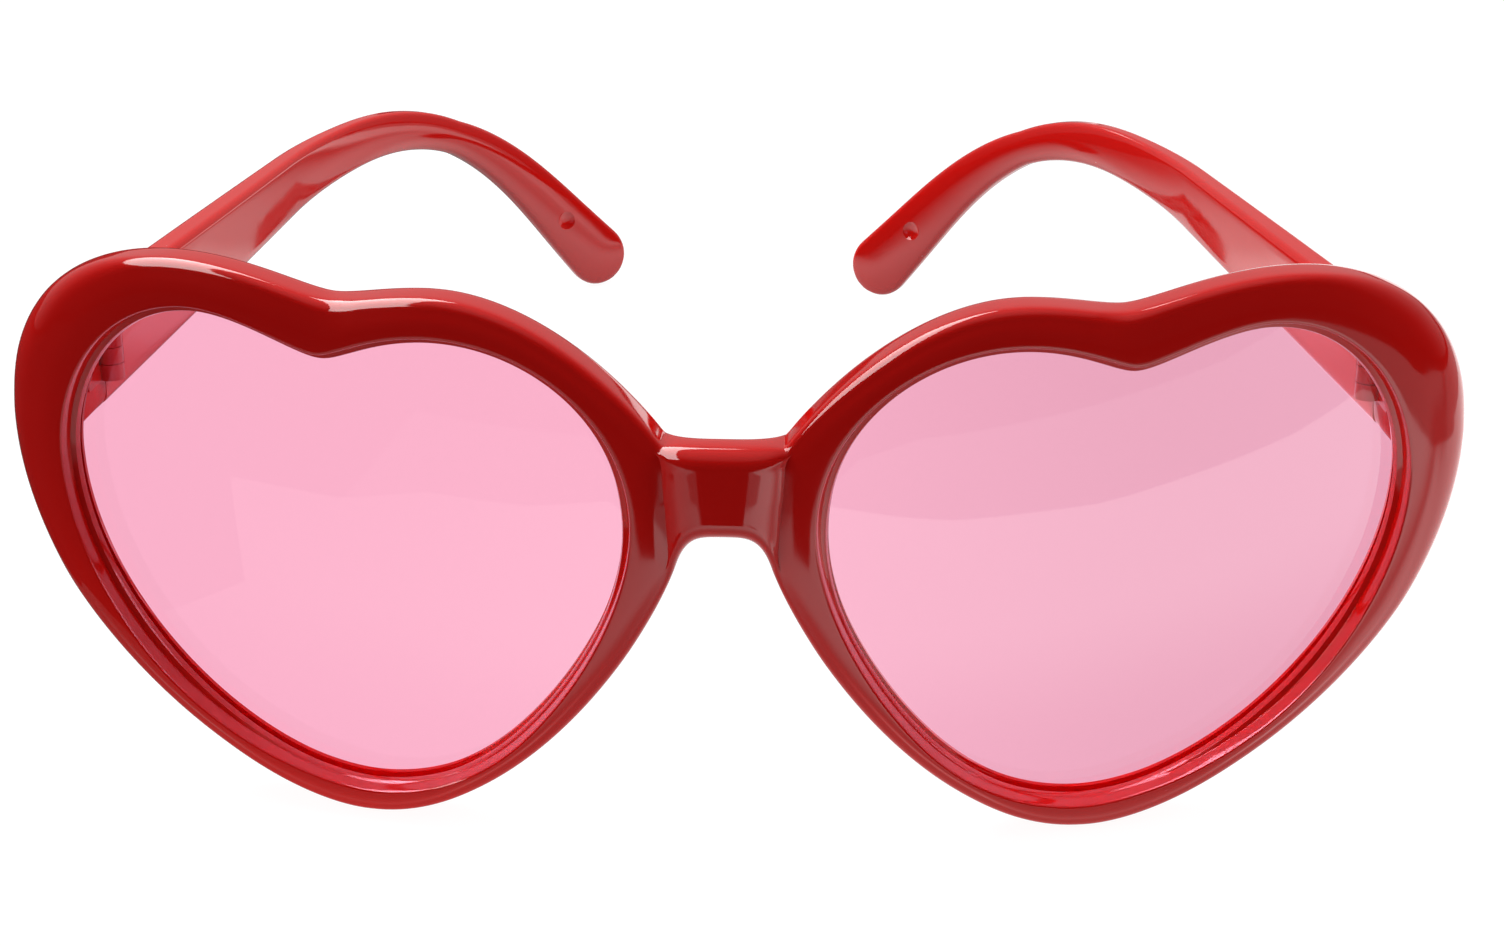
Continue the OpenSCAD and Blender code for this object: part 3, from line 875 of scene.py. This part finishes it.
@dataclass
class Temple:
    """One temple: a bar with slightly domed faces that turns inwards and hooks down behind
    the ear."""

    form: FrontForm
    place: Placement
    room: HingeRoom = field(default_factory=HingeRoom)
    length: float = 142.0
    height: float = 11.0
    bend_h: float = 4.7
    paddle_h: float = 9.4
    thick: float = 3.6
    tip_t: float = 3.0
    edge_r: float = 0.9
    round_share: float = 0.45
    crown: float = 0.34
    crown_span: tuple[float, float] = (25.0, 105.0)
    tip_round: float = 5.0
    bend_at: float = 104.0
    bend_len: float = 52.0
    curl_at: float = 61.0
    rise_deg: float = 2.8
    hook_deg: float = 47.6
    curl_deg: float = 53.5
    sharp_deg: float = 17.0
    step: float = 0.1
    along_n: int = 150
    tip_n: int = 14
    tip_deg: float = 89.0
    corner_n: int = 7
    flat_n: int = 9
    mark_at: float = 129.0
    mark_r: float = 1.4
    mark_depth: float = 0.4
    mark_n: int = 40
    mark_rows: int = 161

    def _dip(self, s: Array) -> Array:
        """Angle of the middle line below the level, in radians."""
        u = (s - self.bend_at + self.bend_len / 2) / self.bend_len
        return np.radians(lerp(-self.rise_deg, self.hook_deg, ease(u)))

    def _curl(self, s: Array) -> Array:
        """Angle by which the middle line has turned inwards, in radians."""
        share = np.maximum(0, s - self.curl_at) / (self.length - self.curl_at)
        return np.radians(self.curl_deg * share)

    def _heading(self, s: Array) -> Array:
        """Direction of the middle line."""
        c, d = self._curl(s), self._dip(s)
        return np.stack([-np.sin(c) * np.cos(d), np.cos(c) * np.cos(d), -np.sin(d)], -1)

    def _line(self, s: Array) -> Array:
        """The middle line: the heading added up in short steps from the joint face."""
        run = self._heading(np.arange(0, self.length, self.step) + self.step / 2)
        line = np.concatenate([np.zeros((1, 3)), np.cumsum(run * self.step, 0)])
        line += [self.form.pin_inset + self.thick / 2, 0, 0]
        at = np.arange(len(line)) * self.step
        return np.stack([np.interp(s, at, line[:, k]) for k in range(3)], -1)

    def _width(self, s: Array) -> Array:
        """Thickness of the bar before its tip closes."""
        return lerp(self.thick, self.tip_t, s / self.length)

    def _section(self, h: Array, t: Array, r: Array, crown: Array) -> Array:
        """A rounded bar at each station: level top and bottom, domed sides, round corners.

        A side's outline is the parabola t/2 - crown (z/e)^2, and each corner's arc starts
        where the parabola ends, at the same slope.

        Args:
            h: Heights.
            t: Thicknesses.
            r: Corner radii.
            crown: How far the sides' middle stands out.

        Returns:
            Offsets to the right and up (stations, points, 2), counter-clockwise.
        """
        low = h / 2 - r
        tilt = np.arctan2(2 * crown, low)
        mid = t / 2 - crown - r * np.cos(tilt)
        end = low + r * np.sin(tilt)
        quarter = np.pi / 2
        u = np.linspace(0, 1, self.corner_n)
        v = 1 - 2 * np.linspace(0, 1, self.flat_n + 2)[1:-1]
        out = []
        for c in range(4):
            sx, sz = (1, 1, -1, -1)[(c + 1) % 4], (1, 1, -1, -1)[c]
            first = quarter * c + tilt * (c % 2 == 0)
            last = quarter * (c + 1) - tilt * (c % 2)
            a = lerp(first[:, None], last[:, None], u)
            out.append(np.stack([(sx * mid)[:, None] + r[:, None] * np.cos(a),
                                 (sz * low)[:, None] + r[:, None] * np.sin(a)], -1))
            if c % 2:
                x, z = sx * (t[:, None] / 2 - crown[:, None] * v**2), sz * end[:, None] * v
            else:
                x, z = sx * mid[:, None] * v, sz * h[:, None] / 2 + 0 * v
            out.append(np.stack([x, z], -1))
        return np.concatenate(out, 1)

    def _mark(self, side: Side, fold_deg: float) -> bpy.types.Object:
        """Builds the body that presses the ejector pin's round mark into the inner face.

        It is a ball whose cap dips under the face: its radius is (r^2 + d^2) / 2d for a mark
        of radius r and depth d.

        Args:
            side: The wearer's side.
            fold_deg: Angle by which the temple is folded in from its stop.

        Returns:
            A closed ball.
        """
        big = (self.mark_r**2 + self.mark_depth**2) / (2 * self.mark_depth)
        s = np.array([self.mark_at])
        c, along = self._curl(s)[0], self._heading(s)[0]
        outward = np.array([np.cos(c), np.sin(c), 0.0])
        mid = self._line(s)[0] - outward * (self._width(s) / 2 + big - self.mark_depth)
        turn = np.stack([along, np.cross(outward, along), outward])
        a = np.linspace(0, np.pi, self.mark_rows)[1:-1, None]
        b = np.arange(self.mark_n)[None, :] / self.mark_n * 2 * np.pi
        ball = np.stack([np.sin(a) * np.cos(b), np.sin(a) * np.sin(b), np.cos(a) + 0 * b], -1)
        poles = np.array([[0.0, 0.0, 1.0], [0.0, 0.0, -1.0]])
        p = np.concatenate([ball.reshape(-1, 3), poles]) * big @ turn + mid
        ids = np.arange(ball.shape[0] * self.mark_n).reshape(ball.shape[:2])
        faces = grid_quads(ids, wrap_cols=True)[:, ::-1].tolist()
        faces += fan(ids[0], ids.size) + fan(ids[-1], ids.size + 1, turned=True)
        p = self.place.world(self.form.at_pin(p, fold_deg, side))
        return new_piece(f"mark_{side.word}", p, faces, side is Side.RIGHT)

    def build(self, side: Side, fold_deg: float) -> bpy.types.Object:
        """Builds the temple where it stands at rest and cuts the hinge's room into it.

        The section is carried along the middle line with the temple's width level, and
        closes over its last stretch as a quarter of an ellipse.

        Args:
            side: The wearer's side.
            fold_deg: Angle by which it is folded in from its stop.

        Returns:
            The finished piece.
        """
        tail = self.length - self.tip_round
        turn = np.radians(np.linspace(0, self.tip_deg, self.tip_n)[1:])
        s = np.concatenate([np.linspace(0, tail, self.along_n),
                            tail + self.tip_round * np.sin(turn)])
        close = np.sqrt(np.maximum(0, 1 - (np.maximum(0, s - tail) / self.tip_round) ** 2))
        h = np.interp(s, [0, self.bend_at, self.length],
                      [self.height, self.bend_h, self.paddle_h]) * close
        t = self._width(s) * np.sqrt(close)
        r = np.minimum(self.edge_r, self.round_share * np.minimum(t, h))
        c, tilt = self._curl(s), self._dip(s) * np.minimum(1, s / self.height)
        right = np.stack([np.cos(c), np.sin(c), 0 * c], -1)
        up = np.stack([-np.sin(c) * np.sin(tilt), np.cos(c) * np.sin(tilt), np.cos(tilt)], -1)
        a, b = self.crown_span
        q = self._section(h, t, r, self.crown * ease((s - a) / (b - a)) * close**2)
        p = self._line(s)[:, None] + right[:, None] * q[..., :1] + up[:, None] * q[..., 1:]
        ids = np.arange(q.size // 2).reshape(q.shape[:2])
        faces = grid_quads(ids, wrap_cols=True).tolist() + fan(ids[-1], ids.size)
        faces.append(ids[0][::-1].tolist())
        points = np.concatenate([p.reshape(-1, 3), p[-1].mean(0)[None]])
        points = self.place.world(self.form.at_pin(points, fold_deg, side))
        piece = new_piece(f"moulded_temple_{side.word}", points, faces, side is Side.LEFT)
        cutters = self.room.cutters(self.form, self.place, side, fold_deg, 1)
        cutters.append(self._mark(side, fold_deg))
        carve(piece, cutters)
        settle(piece, self.sharp_deg)
        discard(cutters)
        return piece


class Finish:
    """What the finishes share. Each fills in the surface of a new material."""

    def material(self, name: str) -> bpy.types.Material:
        """Makes the material."""
        mat = bpy.data.materials.new(name)
        tree = emptied(mat)
        skin = self._skin(tree, add(tree, "TexCoord").outputs["Object"])
        add(tree, "OutputMaterial", links={"Surface": skin.outputs[0]})
        return mat

    def _skin(self, tree: bpy.types.NodeTree, at: bpy.types.NodeSocket) -> bpy.types.Node:
        """Adds the surface's nodes.

        Args:
            tree: The material's node tree.
            at: The object's own coordinates.

        Returns:
            The shader's last node.
        """
        raise NotImplementedError


@dataclass(frozen=True)
class GlossPlastic(Finish):
    """Opaque injection moulded plastic from a polished mould: a deep red with a wet gloss, a
    very slight waviness that bends its highlights, and what handling leaves: a few specks of
    dust and a faint scuffing that dulls the gloss in patches."""

    colour: str = "CC120E"
    roughness: float = 0.06
    ior: float = 1.5
    wave_mm: float = 6.0
    wave_height_mm: float = 0.02
    speck: str = "E0A098"
    speck_mm: float = 7.0
    speck_r_mm: float = 0.11
    speck_core_share: float = 0.6
    scuff_mm: float = 9.0
    scuff: float = 0.05
    scuff_span: tuple[float, float] = (0.5, 0.8)

    def _skin(self, tree: bpy.types.NodeTree, at: bpy.types.NodeSocket) -> bpy.types.Node:
        """Adds the surface's nodes."""
        here = {"Vector": at}
        wave = add(tree, "TexNoise", {"Scale": 1 / (self.wave_mm * MM), "Detail": 1.0}, here)
        bump = add(tree, "Bump", {"Distance": self.wave_height_mm * MM, "Strength": 1.0},
                   {"Height": wave.outputs["Fac"]})
        cells = add(tree, "TexVoronoi", {"Scale": 1 / (self.speck_mm * MM)}, here)
        edge = self.speck_r_mm / self.speck_mm
        dust = add(tree, "MapRange", {"From Min": edge, "From Max": edge * self.speck_core_share},
                   {"Value": cells.outputs["Distance"]})
        flow = add(tree, "TexNoise", {"Scale": 1 / (self.scuff_mm * MM), "Detail": 5.0}, here)
        tone = add(tree, "Mix", {6: linear(self.colour), 7: linear(self.speck)},
                   {0: dust.outputs[0]}, data_type="RGBA")
        dull = add(tree, "MapRange",
                   {"From Min": self.scuff_span[0], "From Max": self.scuff_span[1],
                    "To Min": self.roughness, "To Max": self.roughness + self.scuff},
                   {"Value": flow.outputs["Fac"]})
        return add(tree, "BsdfPrincipled", {"IOR": self.ior},
                   {"Base Color": tone.outputs[2], "Roughness": dull.outputs[0],
                    "Normal": bump.outputs[0]})


@dataclass(frozen=True)
class TintedPlastic(Finish):
    """Clear plastic dyed pink right through: the white sheet behind shows as pink, and its
    shadow is tinted too."""

    colour: str = "FCB3CC"
    shade: str = "B06A84"
    roughness: float = 0.02
    ior: float = 1.49

    def _skin(self, tree: bpy.types.NodeTree, at: bpy.types.NodeSocket) -> bpy.types.Node:
        """Adds the surface's nodes."""
        glass = add(tree, "BsdfPrincipled",
                    {"Base Color": linear(self.colour), "Roughness": self.roughness,
                     "IOR": self.ior, "Transmission Weight": 1.0})
        clear = add(tree, "BsdfTransparent", {"Color": linear(self.shade)})
        return add(tree, "MixShader",
                   links={0: add(tree, "LightPath").outputs["Is Shadow Ray"],
                          1: glass.outputs[0], 2: clear.outputs[0]})


@dataclass(frozen=True)
class BrushedSteel(Finish):
    """Plain turned steel: grey, with fine grinding marks that spread its highlights."""

    colour: str = "B8B6B2"
    roughness: tuple[float, float] = (0.24, 0.42)
    mark_mm: float = 0.12
    stretch: tuple[float, float, float] = (1.0, 0.1, 1.0)
    depth_mm: float = 0.01
    strength: float = 0.6

    def _skin(self, tree: bpy.types.NodeTree, at: bpy.types.NodeSocket) -> bpy.types.Node:
        """Adds the surface's nodes."""
        long = add(tree, "Mapping", {"Scale": self.stretch}, {"Vector": at})
        marks = add(tree, "TexNoise", {"Scale": 1 / (self.mark_mm * MM), "Detail": 3.0},
                    {"Vector": long.outputs[0]}).outputs["Fac"]
        rough = add(tree, "MapRange", {"To Min": self.roughness[0], "To Max": self.roughness[1]},
                    {"Value": marks})
        bump = add(tree, "Bump", {"Distance": self.depth_mm * MM, "Strength": self.strength},
                   {"Height": marks})
        return add(tree, "BsdfPrincipled", {"Base Color": linear(self.colour), "Metallic": 1.0},
                   {"Roughness": rough.outputs[0], "Normal": bump.outputs[0]})


@dataclass(frozen=True)
class LacqueredSteel(Finish):
    """Stamped steel dipped in the frame's red lacquer: a thick, slightly orange-peeled coat
    that hides the grinding marks."""

    colour: str = "B81210"
    roughness: float = 0.22
    ior: float = 1.5
    peel_mm: float = 0.5
    depth_mm: float = 0.01

    def _skin(self, tree: bpy.types.NodeTree, at: bpy.types.NodeSocket) -> bpy.types.Node:
        """Adds the surface's nodes."""
        peel = add(tree, "TexNoise", {"Scale": 1 / (self.peel_mm * MM), "Detail": 2.0},
                   {"Vector": at})
        bump = add(tree, "Bump", {"Distance": self.depth_mm * MM, "Strength": 1.0},
                   {"Height": peel.outputs["Fac"]})
        return add(tree, "BsdfPrincipled", {"Base Color": linear(self.colour),
                                            "Roughness": self.roughness, "IOR": self.ior},
                   {"Normal": bump.outputs[0]})


class Way(Enum):
    """The lengths on the ground that a level can follow."""

    EAST = "x"
    NORTH = "y"
    FAR = "distance from a place behind the front"


@dataclass(frozen=True)
class Ramp:
    """A level that eases from one value to another over a stretch in millimetres."""

    way: Way
    start: float
    end: float
    first: float = 0.0
    last: float = 1.0


@dataclass(frozen=True)
class SoftBox:
    """A lamp that faces the glasses: its direction round them, where 0 is the front and 90
    is plus X, and above the level, its size in metres and how bright its face is, where 1 is
    white. It lights them, or else only their gloss shows it."""

    name: str
    turn_deg: float
    rise_deg: float
    size: tuple[float, float]
    level: float
    mirrored: bool = False
    far: float = 0.9
    aim: tuple[float, float, float] = (0.0, 0.0, 0.03)

    def hang(self) -> None:
        """Adds the lamp."""
        a, e = np.radians([self.turn_deg, self.rise_deg])
        back = np.array([np.sin(a) * np.cos(e), -np.cos(a) * np.cos(e), np.sin(e)])
        right = np.cross([0.0, 0.0, 1.0], back)
        right /= np.linalg.norm(right)
        data = bpy.data.lights.new(self.name, "AREA")
        data.shape, data.size, data.size_y = "RECTANGLE", *self.size
        data.energy = self.level * np.pi * self.size[0] * self.size[1]
        obj = linked(self.name, data)
        obj.visible_diffuse, obj.visible_glossy = not self.mirrored, self.mirrored
        turned = Matrix(np.stack([right, np.cross(back, right), back], 1).tolist())
        eye = np.array(self.aim) + back * self.far
        obj.matrix_world = Matrix.Translation(eye.tolist()) @ turned.to_4x4()


@dataclass
class Studio:
    """The ground, the lamps and the camera.

    White paper lies on a larger, dimmer sheet on a dark table. The light that the gloss and
    the bounce get from them comes from patches, each the product of its ramps: one near the
    glasses that grows or fades behind them, one in front, and one in a corner. The bounce
    alone also gets a strip at the foot of the front.
    """

    place: Placement
    pitch_deg: float = 20.0
    yaw_deg: float = 2.317
    roll_deg: float = 0.199
    distance: float = 240.0
    target: tuple[float, float, float] = (2.78, 0.0, 38.991)
    focal_px: float = 2527.4
    image_w: float = 1504.0
    sensor_w: float = 36.0
    clip_mm: float = 10.0
    sheet: tuple[tuple[float, float], ...] = (
        (-100, 700), (-100, -120), (-125, -250), (-60, -262), (-42, -228), (-17, -187),
        (9, -182), (22, -225), (37, -250), (60, -262), (192, -262), (420, -300),
        (700, 200), (300, 700))
    paper: tuple[tuple[float, float], ...] = (
        (-100, 700), (-100, -120), (-140, -160), (-111, -174), (-92, -194), (-64, -200),
        (-42, -212), (-17, -187), (9, -182), (21, -216), (42, -204), (57, -197), (97, -189),
        (168, -186), (205, -190), (210, -60), (300, 700))
    table_half: float = 1500.0
    paper_colour: str = "606060"
    table_colour: str = "303030"
    sheet_share: float = 0.25
    shadow_share: float = 0.12
    paper_level: float = 0.95
    near_y: float = 20.0
    # How bright the paper looks through a lens: it dims towards plus X, a painted shade that makes
    # the plus X lens duskier.
    through: tuple[Ramp, ...] = (Ramp(Way.EAST, -25, 60, 1.03, 0.875),)
    near: tuple[Ramp, ...] = (Ramp(Way.FAR, 50, 130, 1.3, 0.0),
                              Ramp(Way.EAST, -100, 80, 0.03, 1.0))
    behind: tuple[Ramp, ...] = (Ramp(Way.NORTH, 30, 45), Ramp(Way.NORTH, 62, 78, 1.0, 0.0),
                                Ramp(Way.EAST, -10, 25, 1.3, -0.2))
    front: tuple[Ramp, ...] = (Ramp(Way.NORTH, -140, -78, 1.0, 0.12),
                               Ramp(Way.NORTH, -60, -20, 1.0, 0.4),
                               Ramp(Way.EAST, -140, 120, 0.45, 2.0))
    corner: tuple[Ramp, ...] = (Ramp(Way.NORTH, -100, -75), Ramp(Way.EAST, 50, 105, 0.0, 1.4))
    foot: tuple[Ramp, ...] = (Ramp(Way.NORTH, -125, -85), Ramp(Way.NORTH, -70, -55, 1.0, 0.0),
                              Ramp(Way.EAST, -50, 40, 0.95, 0.62))
    bounce_share: float = 0.32
    front_level: float = 0.03
    back_level: float = 0.4
    back_span: tuple[float, float] = (-0.2, 0.9)
    top_level: float = 0.38
    top_span: tuple[float, float] = (0.75, 1.0)
    lamps: tuple[SoftBox, ...] = (
        SoftBox("key", -126.0, 50.0, (0.72, 0.44), 6.8),
        SoftBox("window", -108.0, 53.0, (1.8, 0.52), 8.0, mirrored=True),
        SoftBox("fill", -62.0, 32.0, (0.8, 0.6), 1.7),
        SoftBox("side", 98.0, 32.0, (0.8, 0.6), 3.2))

    def _camera(self) -> None:
        """Sets the camera at the photograph's place, turned by yaw, pitch and roll."""
        th, ps, ro = np.radians([self.pitch_deg, self.yaw_deg, self.roll_deg])
        back = np.array([np.sin(ps) * np.cos(th), -np.cos(ps) * np.cos(th), np.sin(th)])
        right = np.array([np.cos(ps), np.sin(ps), 0.0])
        up = np.cross(back, right)
        across = right * np.cos(ro) + up * np.sin(ro)
        above = up * np.cos(ro) - right * np.sin(ro)
        eye = self.place.world(np.array(self.target) + back * self.distance)
        data = bpy.data.cameras.new("camera")
        data.sensor_width = self.sensor_w
        data.lens = self.focal_px * self.sensor_w / self.image_w
        data.clip_start = self.clip_mm * MM
        turned = Matrix(self.place.turn(np.stack([across, above, back])).T.tolist())
        obj = linked("camera", data)
        obj.matrix_world = Matrix.Translation(eye.tolist()) @ turned.to_4x4()
        bpy.context.scene.camera = obj

    @staticmethod
    def _seen(tree: bpy.types.NodeTree) -> bpy.types.NodeSocket:
        """Returns 1 where the camera looks, straight or through a lens, and 0 elsewhere."""
        path = add(tree, "LightPath")
        return add(tree, "Math", links={0: path.outputs["Is Camera Ray"],
                                        1: path.outputs["Is Transmission Ray"]},
                   operation="MAXIMUM").outputs[0]

    @staticmethod
    def _patch(tree: bpy.types.NodeTree, ways: dict[Way, bpy.types.NodeSocket],
               ramps: tuple[Ramp, ...]) -> bpy.types.NodeSocket:
        """Multiplies the levels of ramps.

        Args:
            tree: The material's node tree.
            ways: The lengths in metres that ramps follow.
            ramps: The ramps.

        Returns:
            The product.
        """
        out = None
        for ramp in ramps:
            level = add(tree, "MapRange", {"From Min": ramp.start * MM, "From Max": ramp.end * MM,
                                           "To Min": ramp.first, "To Max": ramp.last},
                        {"Value": ways[ramp.way]}, interpolation_type="SMOOTHSTEP").outputs[0]
            out = level if out is None else add(tree, "Math", links={0: out, 1: level},
                                                operation="MULTIPLY").outputs[0]
        return out

    def _ground(self, name: str, outline: Array, z: float, colour: str, share: float) -> None:
        """Lays one flat part of the ground.

        The camera sees white paper that keeps a faint shadow. The light that bounces off
        it, and the gloss, get its own colour.

        Args:
            name: The part's name.
            outline: Its corners in millimetres, n by 2, counter-clockwise.
            z: Its height in millimetres.
            colour: Its own colour.
            share: How much of the paper's uneven light it sends back.
        """
        p = np.column_stack([outline, np.full(len(outline), z)]) * MM
        part = new_piece(name, p, [list(range(len(p)))])
        mat = bpy.data.materials.new(name)
        tree = emptied(mat)
        at = add(tree, "TexCoord").outputs["Object"]
        far = add(tree, "VectorMath", {1: (0.0, self.near_y * MM, 0.0)}, {0: at},
                  operation="DISTANCE").outputs["Value"]
        split = add(tree, "SeparateXYZ", links={0: at})
        ways = {Way.EAST: split.outputs[0], Way.NORTH: split.outputs[1], Way.FAR: far}
        near = self._patch(tree, ways, self.near)
        level = add(tree, "Math", links={0: near, 1: self._patch(tree, ways, self.behind), 2: near},
                    operation="MULTIPLY_ADD").outputs[0]
        for ramps in (self.front, self.corner):
            level = add(tree, "Math",
                        links={0: level, 1: self._patch(tree, ways, ramps)}).outputs[0]
        path = add(tree, "LightPath")
        diffuse = path.outputs["Is Diffuse Ray"]
        bounce = add(tree, "MapRange", {"To Min": share, "To Max": share * self.bounce_share},
                     {"Value": diffuse})
        foot = add(tree, "Math", {1: share}, {0: self._patch(tree, ways, self.foot)},
                   operation="MULTIPLY")
        foot = add(tree, "Math", links={0: diffuse, 1: foot.outputs[0]}, operation="MULTIPLY")
        level = add(tree, "Math", links={0: level, 1: bounce.outputs[0], 2: foot.outputs[0]},
                    operation="MULTIPLY_ADD")
        white = {"Color": (1, 1, 1, 1)}
        shaders = [
            add(tree, "BsdfDiffuse", {"Color": linear(colour)}),
            add(tree, "Emission", white, {"Strength": level.outputs[0]}),
            add(tree, "BsdfDiffuse", {"Color": (self.shadow_share,) * 3 + (1,)}),
            add(tree, "Emission", white | {"Strength": self.paper_level})]
        own, seen = (add(tree, "AddShader", links={0: a.outputs[0], 1: b.outputs[0]})
                     for a, b in (shaders[:2], shaders[2:]))
        # Through a lens the camera sees the paper's glow, painted dimmer towards plus X as a painted
        # shade.
        through = add(tree, "Emission", white, {"Strength": self._patch(tree, ways, self.through)})
        seen = add(tree, "MixShader", links={0: path.outputs["Is Transmission Ray"],
                                             1: seen.outputs[0], 2: through.outputs[0]})
        mix = add(tree, "MixShader", links={0: self._seen(tree), 1: own.outputs[0],
                                            2: seen.outputs[0]})
        add(tree, "OutputMaterial", links={"Surface": mix.outputs[0]})
        part.data.materials.append(mat)

    def _room(self) -> None:
        """Gives the room its light: dim in front, paler behind and overhead."""
        world = bpy.data.worlds.new("room")
        bpy.context.scene.world = world
        tree = emptied(world)
        way = add(tree, "SeparateXYZ", links={0: add(tree, "TexCoord").outputs["Generated"]})
        behind, above = (
            add(tree, "MapRange", {"From Min": span[0], "From Max": span[1], "To Min": low,
                                   "To Max": high}, {"Value": way.outputs[axis]},
                interpolation_type="SMOOTHSTEP").outputs[0]
            for axis, span, low, high in ((1, self.back_span, self.front_level, self.back_level),
                                          (2, self.top_span, 0.0, self.top_level)))
        both = add(tree, "Math", links={0: behind, 1: above})
        level = add(tree, "Mix", {3: 1.0}, {0: self._seen(tree), 2: both.outputs[0]})
        back = add(tree, "Background", {"Color": (1, 1, 1, 1)}, {"Strength": level.outputs[0]})
        add(tree, "OutputWorld", links={"Surface": back.outputs[0]})

    def build(self) -> None:
        """Sets the stage: camera, paper, sheet, table, room and lamps."""
        self._camera()
        w = self.table_half
        table = ((-w, -w), (w, -w), (w, w), (-w, w))
        self._ground("paper", np.array(self.paper), 0.0, self.paper_colour, 1.0)
        self._ground("sheet", np.array(self.sheet), -0.5, self.paper_colour, self.sheet_share)
        self._ground("table", np.array(table), -1.0, self.table_colour, 0.0)
        self._room()
        for lamp in self.lamps:
            lamp.hang()


def dress(piece: bpy.types.Object, material: bpy.types.Material, body: str, slot: str,
          *nodes: str) -> None:
    """Gives a piece its material and body, and hides the CAD nodes that it replaces.

    Args:
        piece: The piece.
        material: Its material.
        body: The CAD body that it rides on.
        slot: The record's material slot; not used.
        *nodes: CAD nodes that it replaces.
    """
    piece.data.materials.clear()
    piece.data.materials.append(material)
    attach(piece, body)
    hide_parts(*nodes)
    LOG.info("%s: %d faces on %s", piece.name, len(piece.data.polygons), body)


def main() -> None:
    """Builds the front, the lenses, the temples and the stage."""
    form = FrontForm()
    place = Placement.from_joint(form.pin)
    folds = {Side.RIGHT: 5.0, Side.LEFT: 10.0}
    red = GlossPlastic().material("red moulded plastic")
    # Painted light: a brighter copy of the same red for the temples, standing in for light that
    # their faces miss.
    painted_lit_red = GlossPlastic(colour="D8140F").material("red moulded plastic, thin")
    pink = TintedPlastic().material("pink tinted plastic")
    steel = BrushedSteel().material("turned steel")
    lacquer = LacqueredSteel().material("red lacquered steel")
    Studio(place).build()
    dress(FrontMoulding(form, place).build(), red, "front", "frame_plastic", "front_frame")
    for side in Side:
        lens = Lens(form, place).build(side)
        dress(lens, pink, "front", "lens_plastic", f"lens_{side.word}")
        temple = Temple(form, place).build(side, folds[side])
        dress(temple, painted_lit_red, f"temple_arm_{side.word}", "temple_plastic", f"temple_{side.word}")
        for part in Steel:
            node = frame["nodes"][f"{part.value}_{side.word}"]
            node.data.materials.clear()
            node.data.materials.append(steel if part is Steel.SCREW else lacquer)
    scene = bpy.context.scene
    scene.view_settings.view_transform = "Standard"


if __name__ == "__main__":
    logging.basicConfig(level=logging.INFO)
    main()
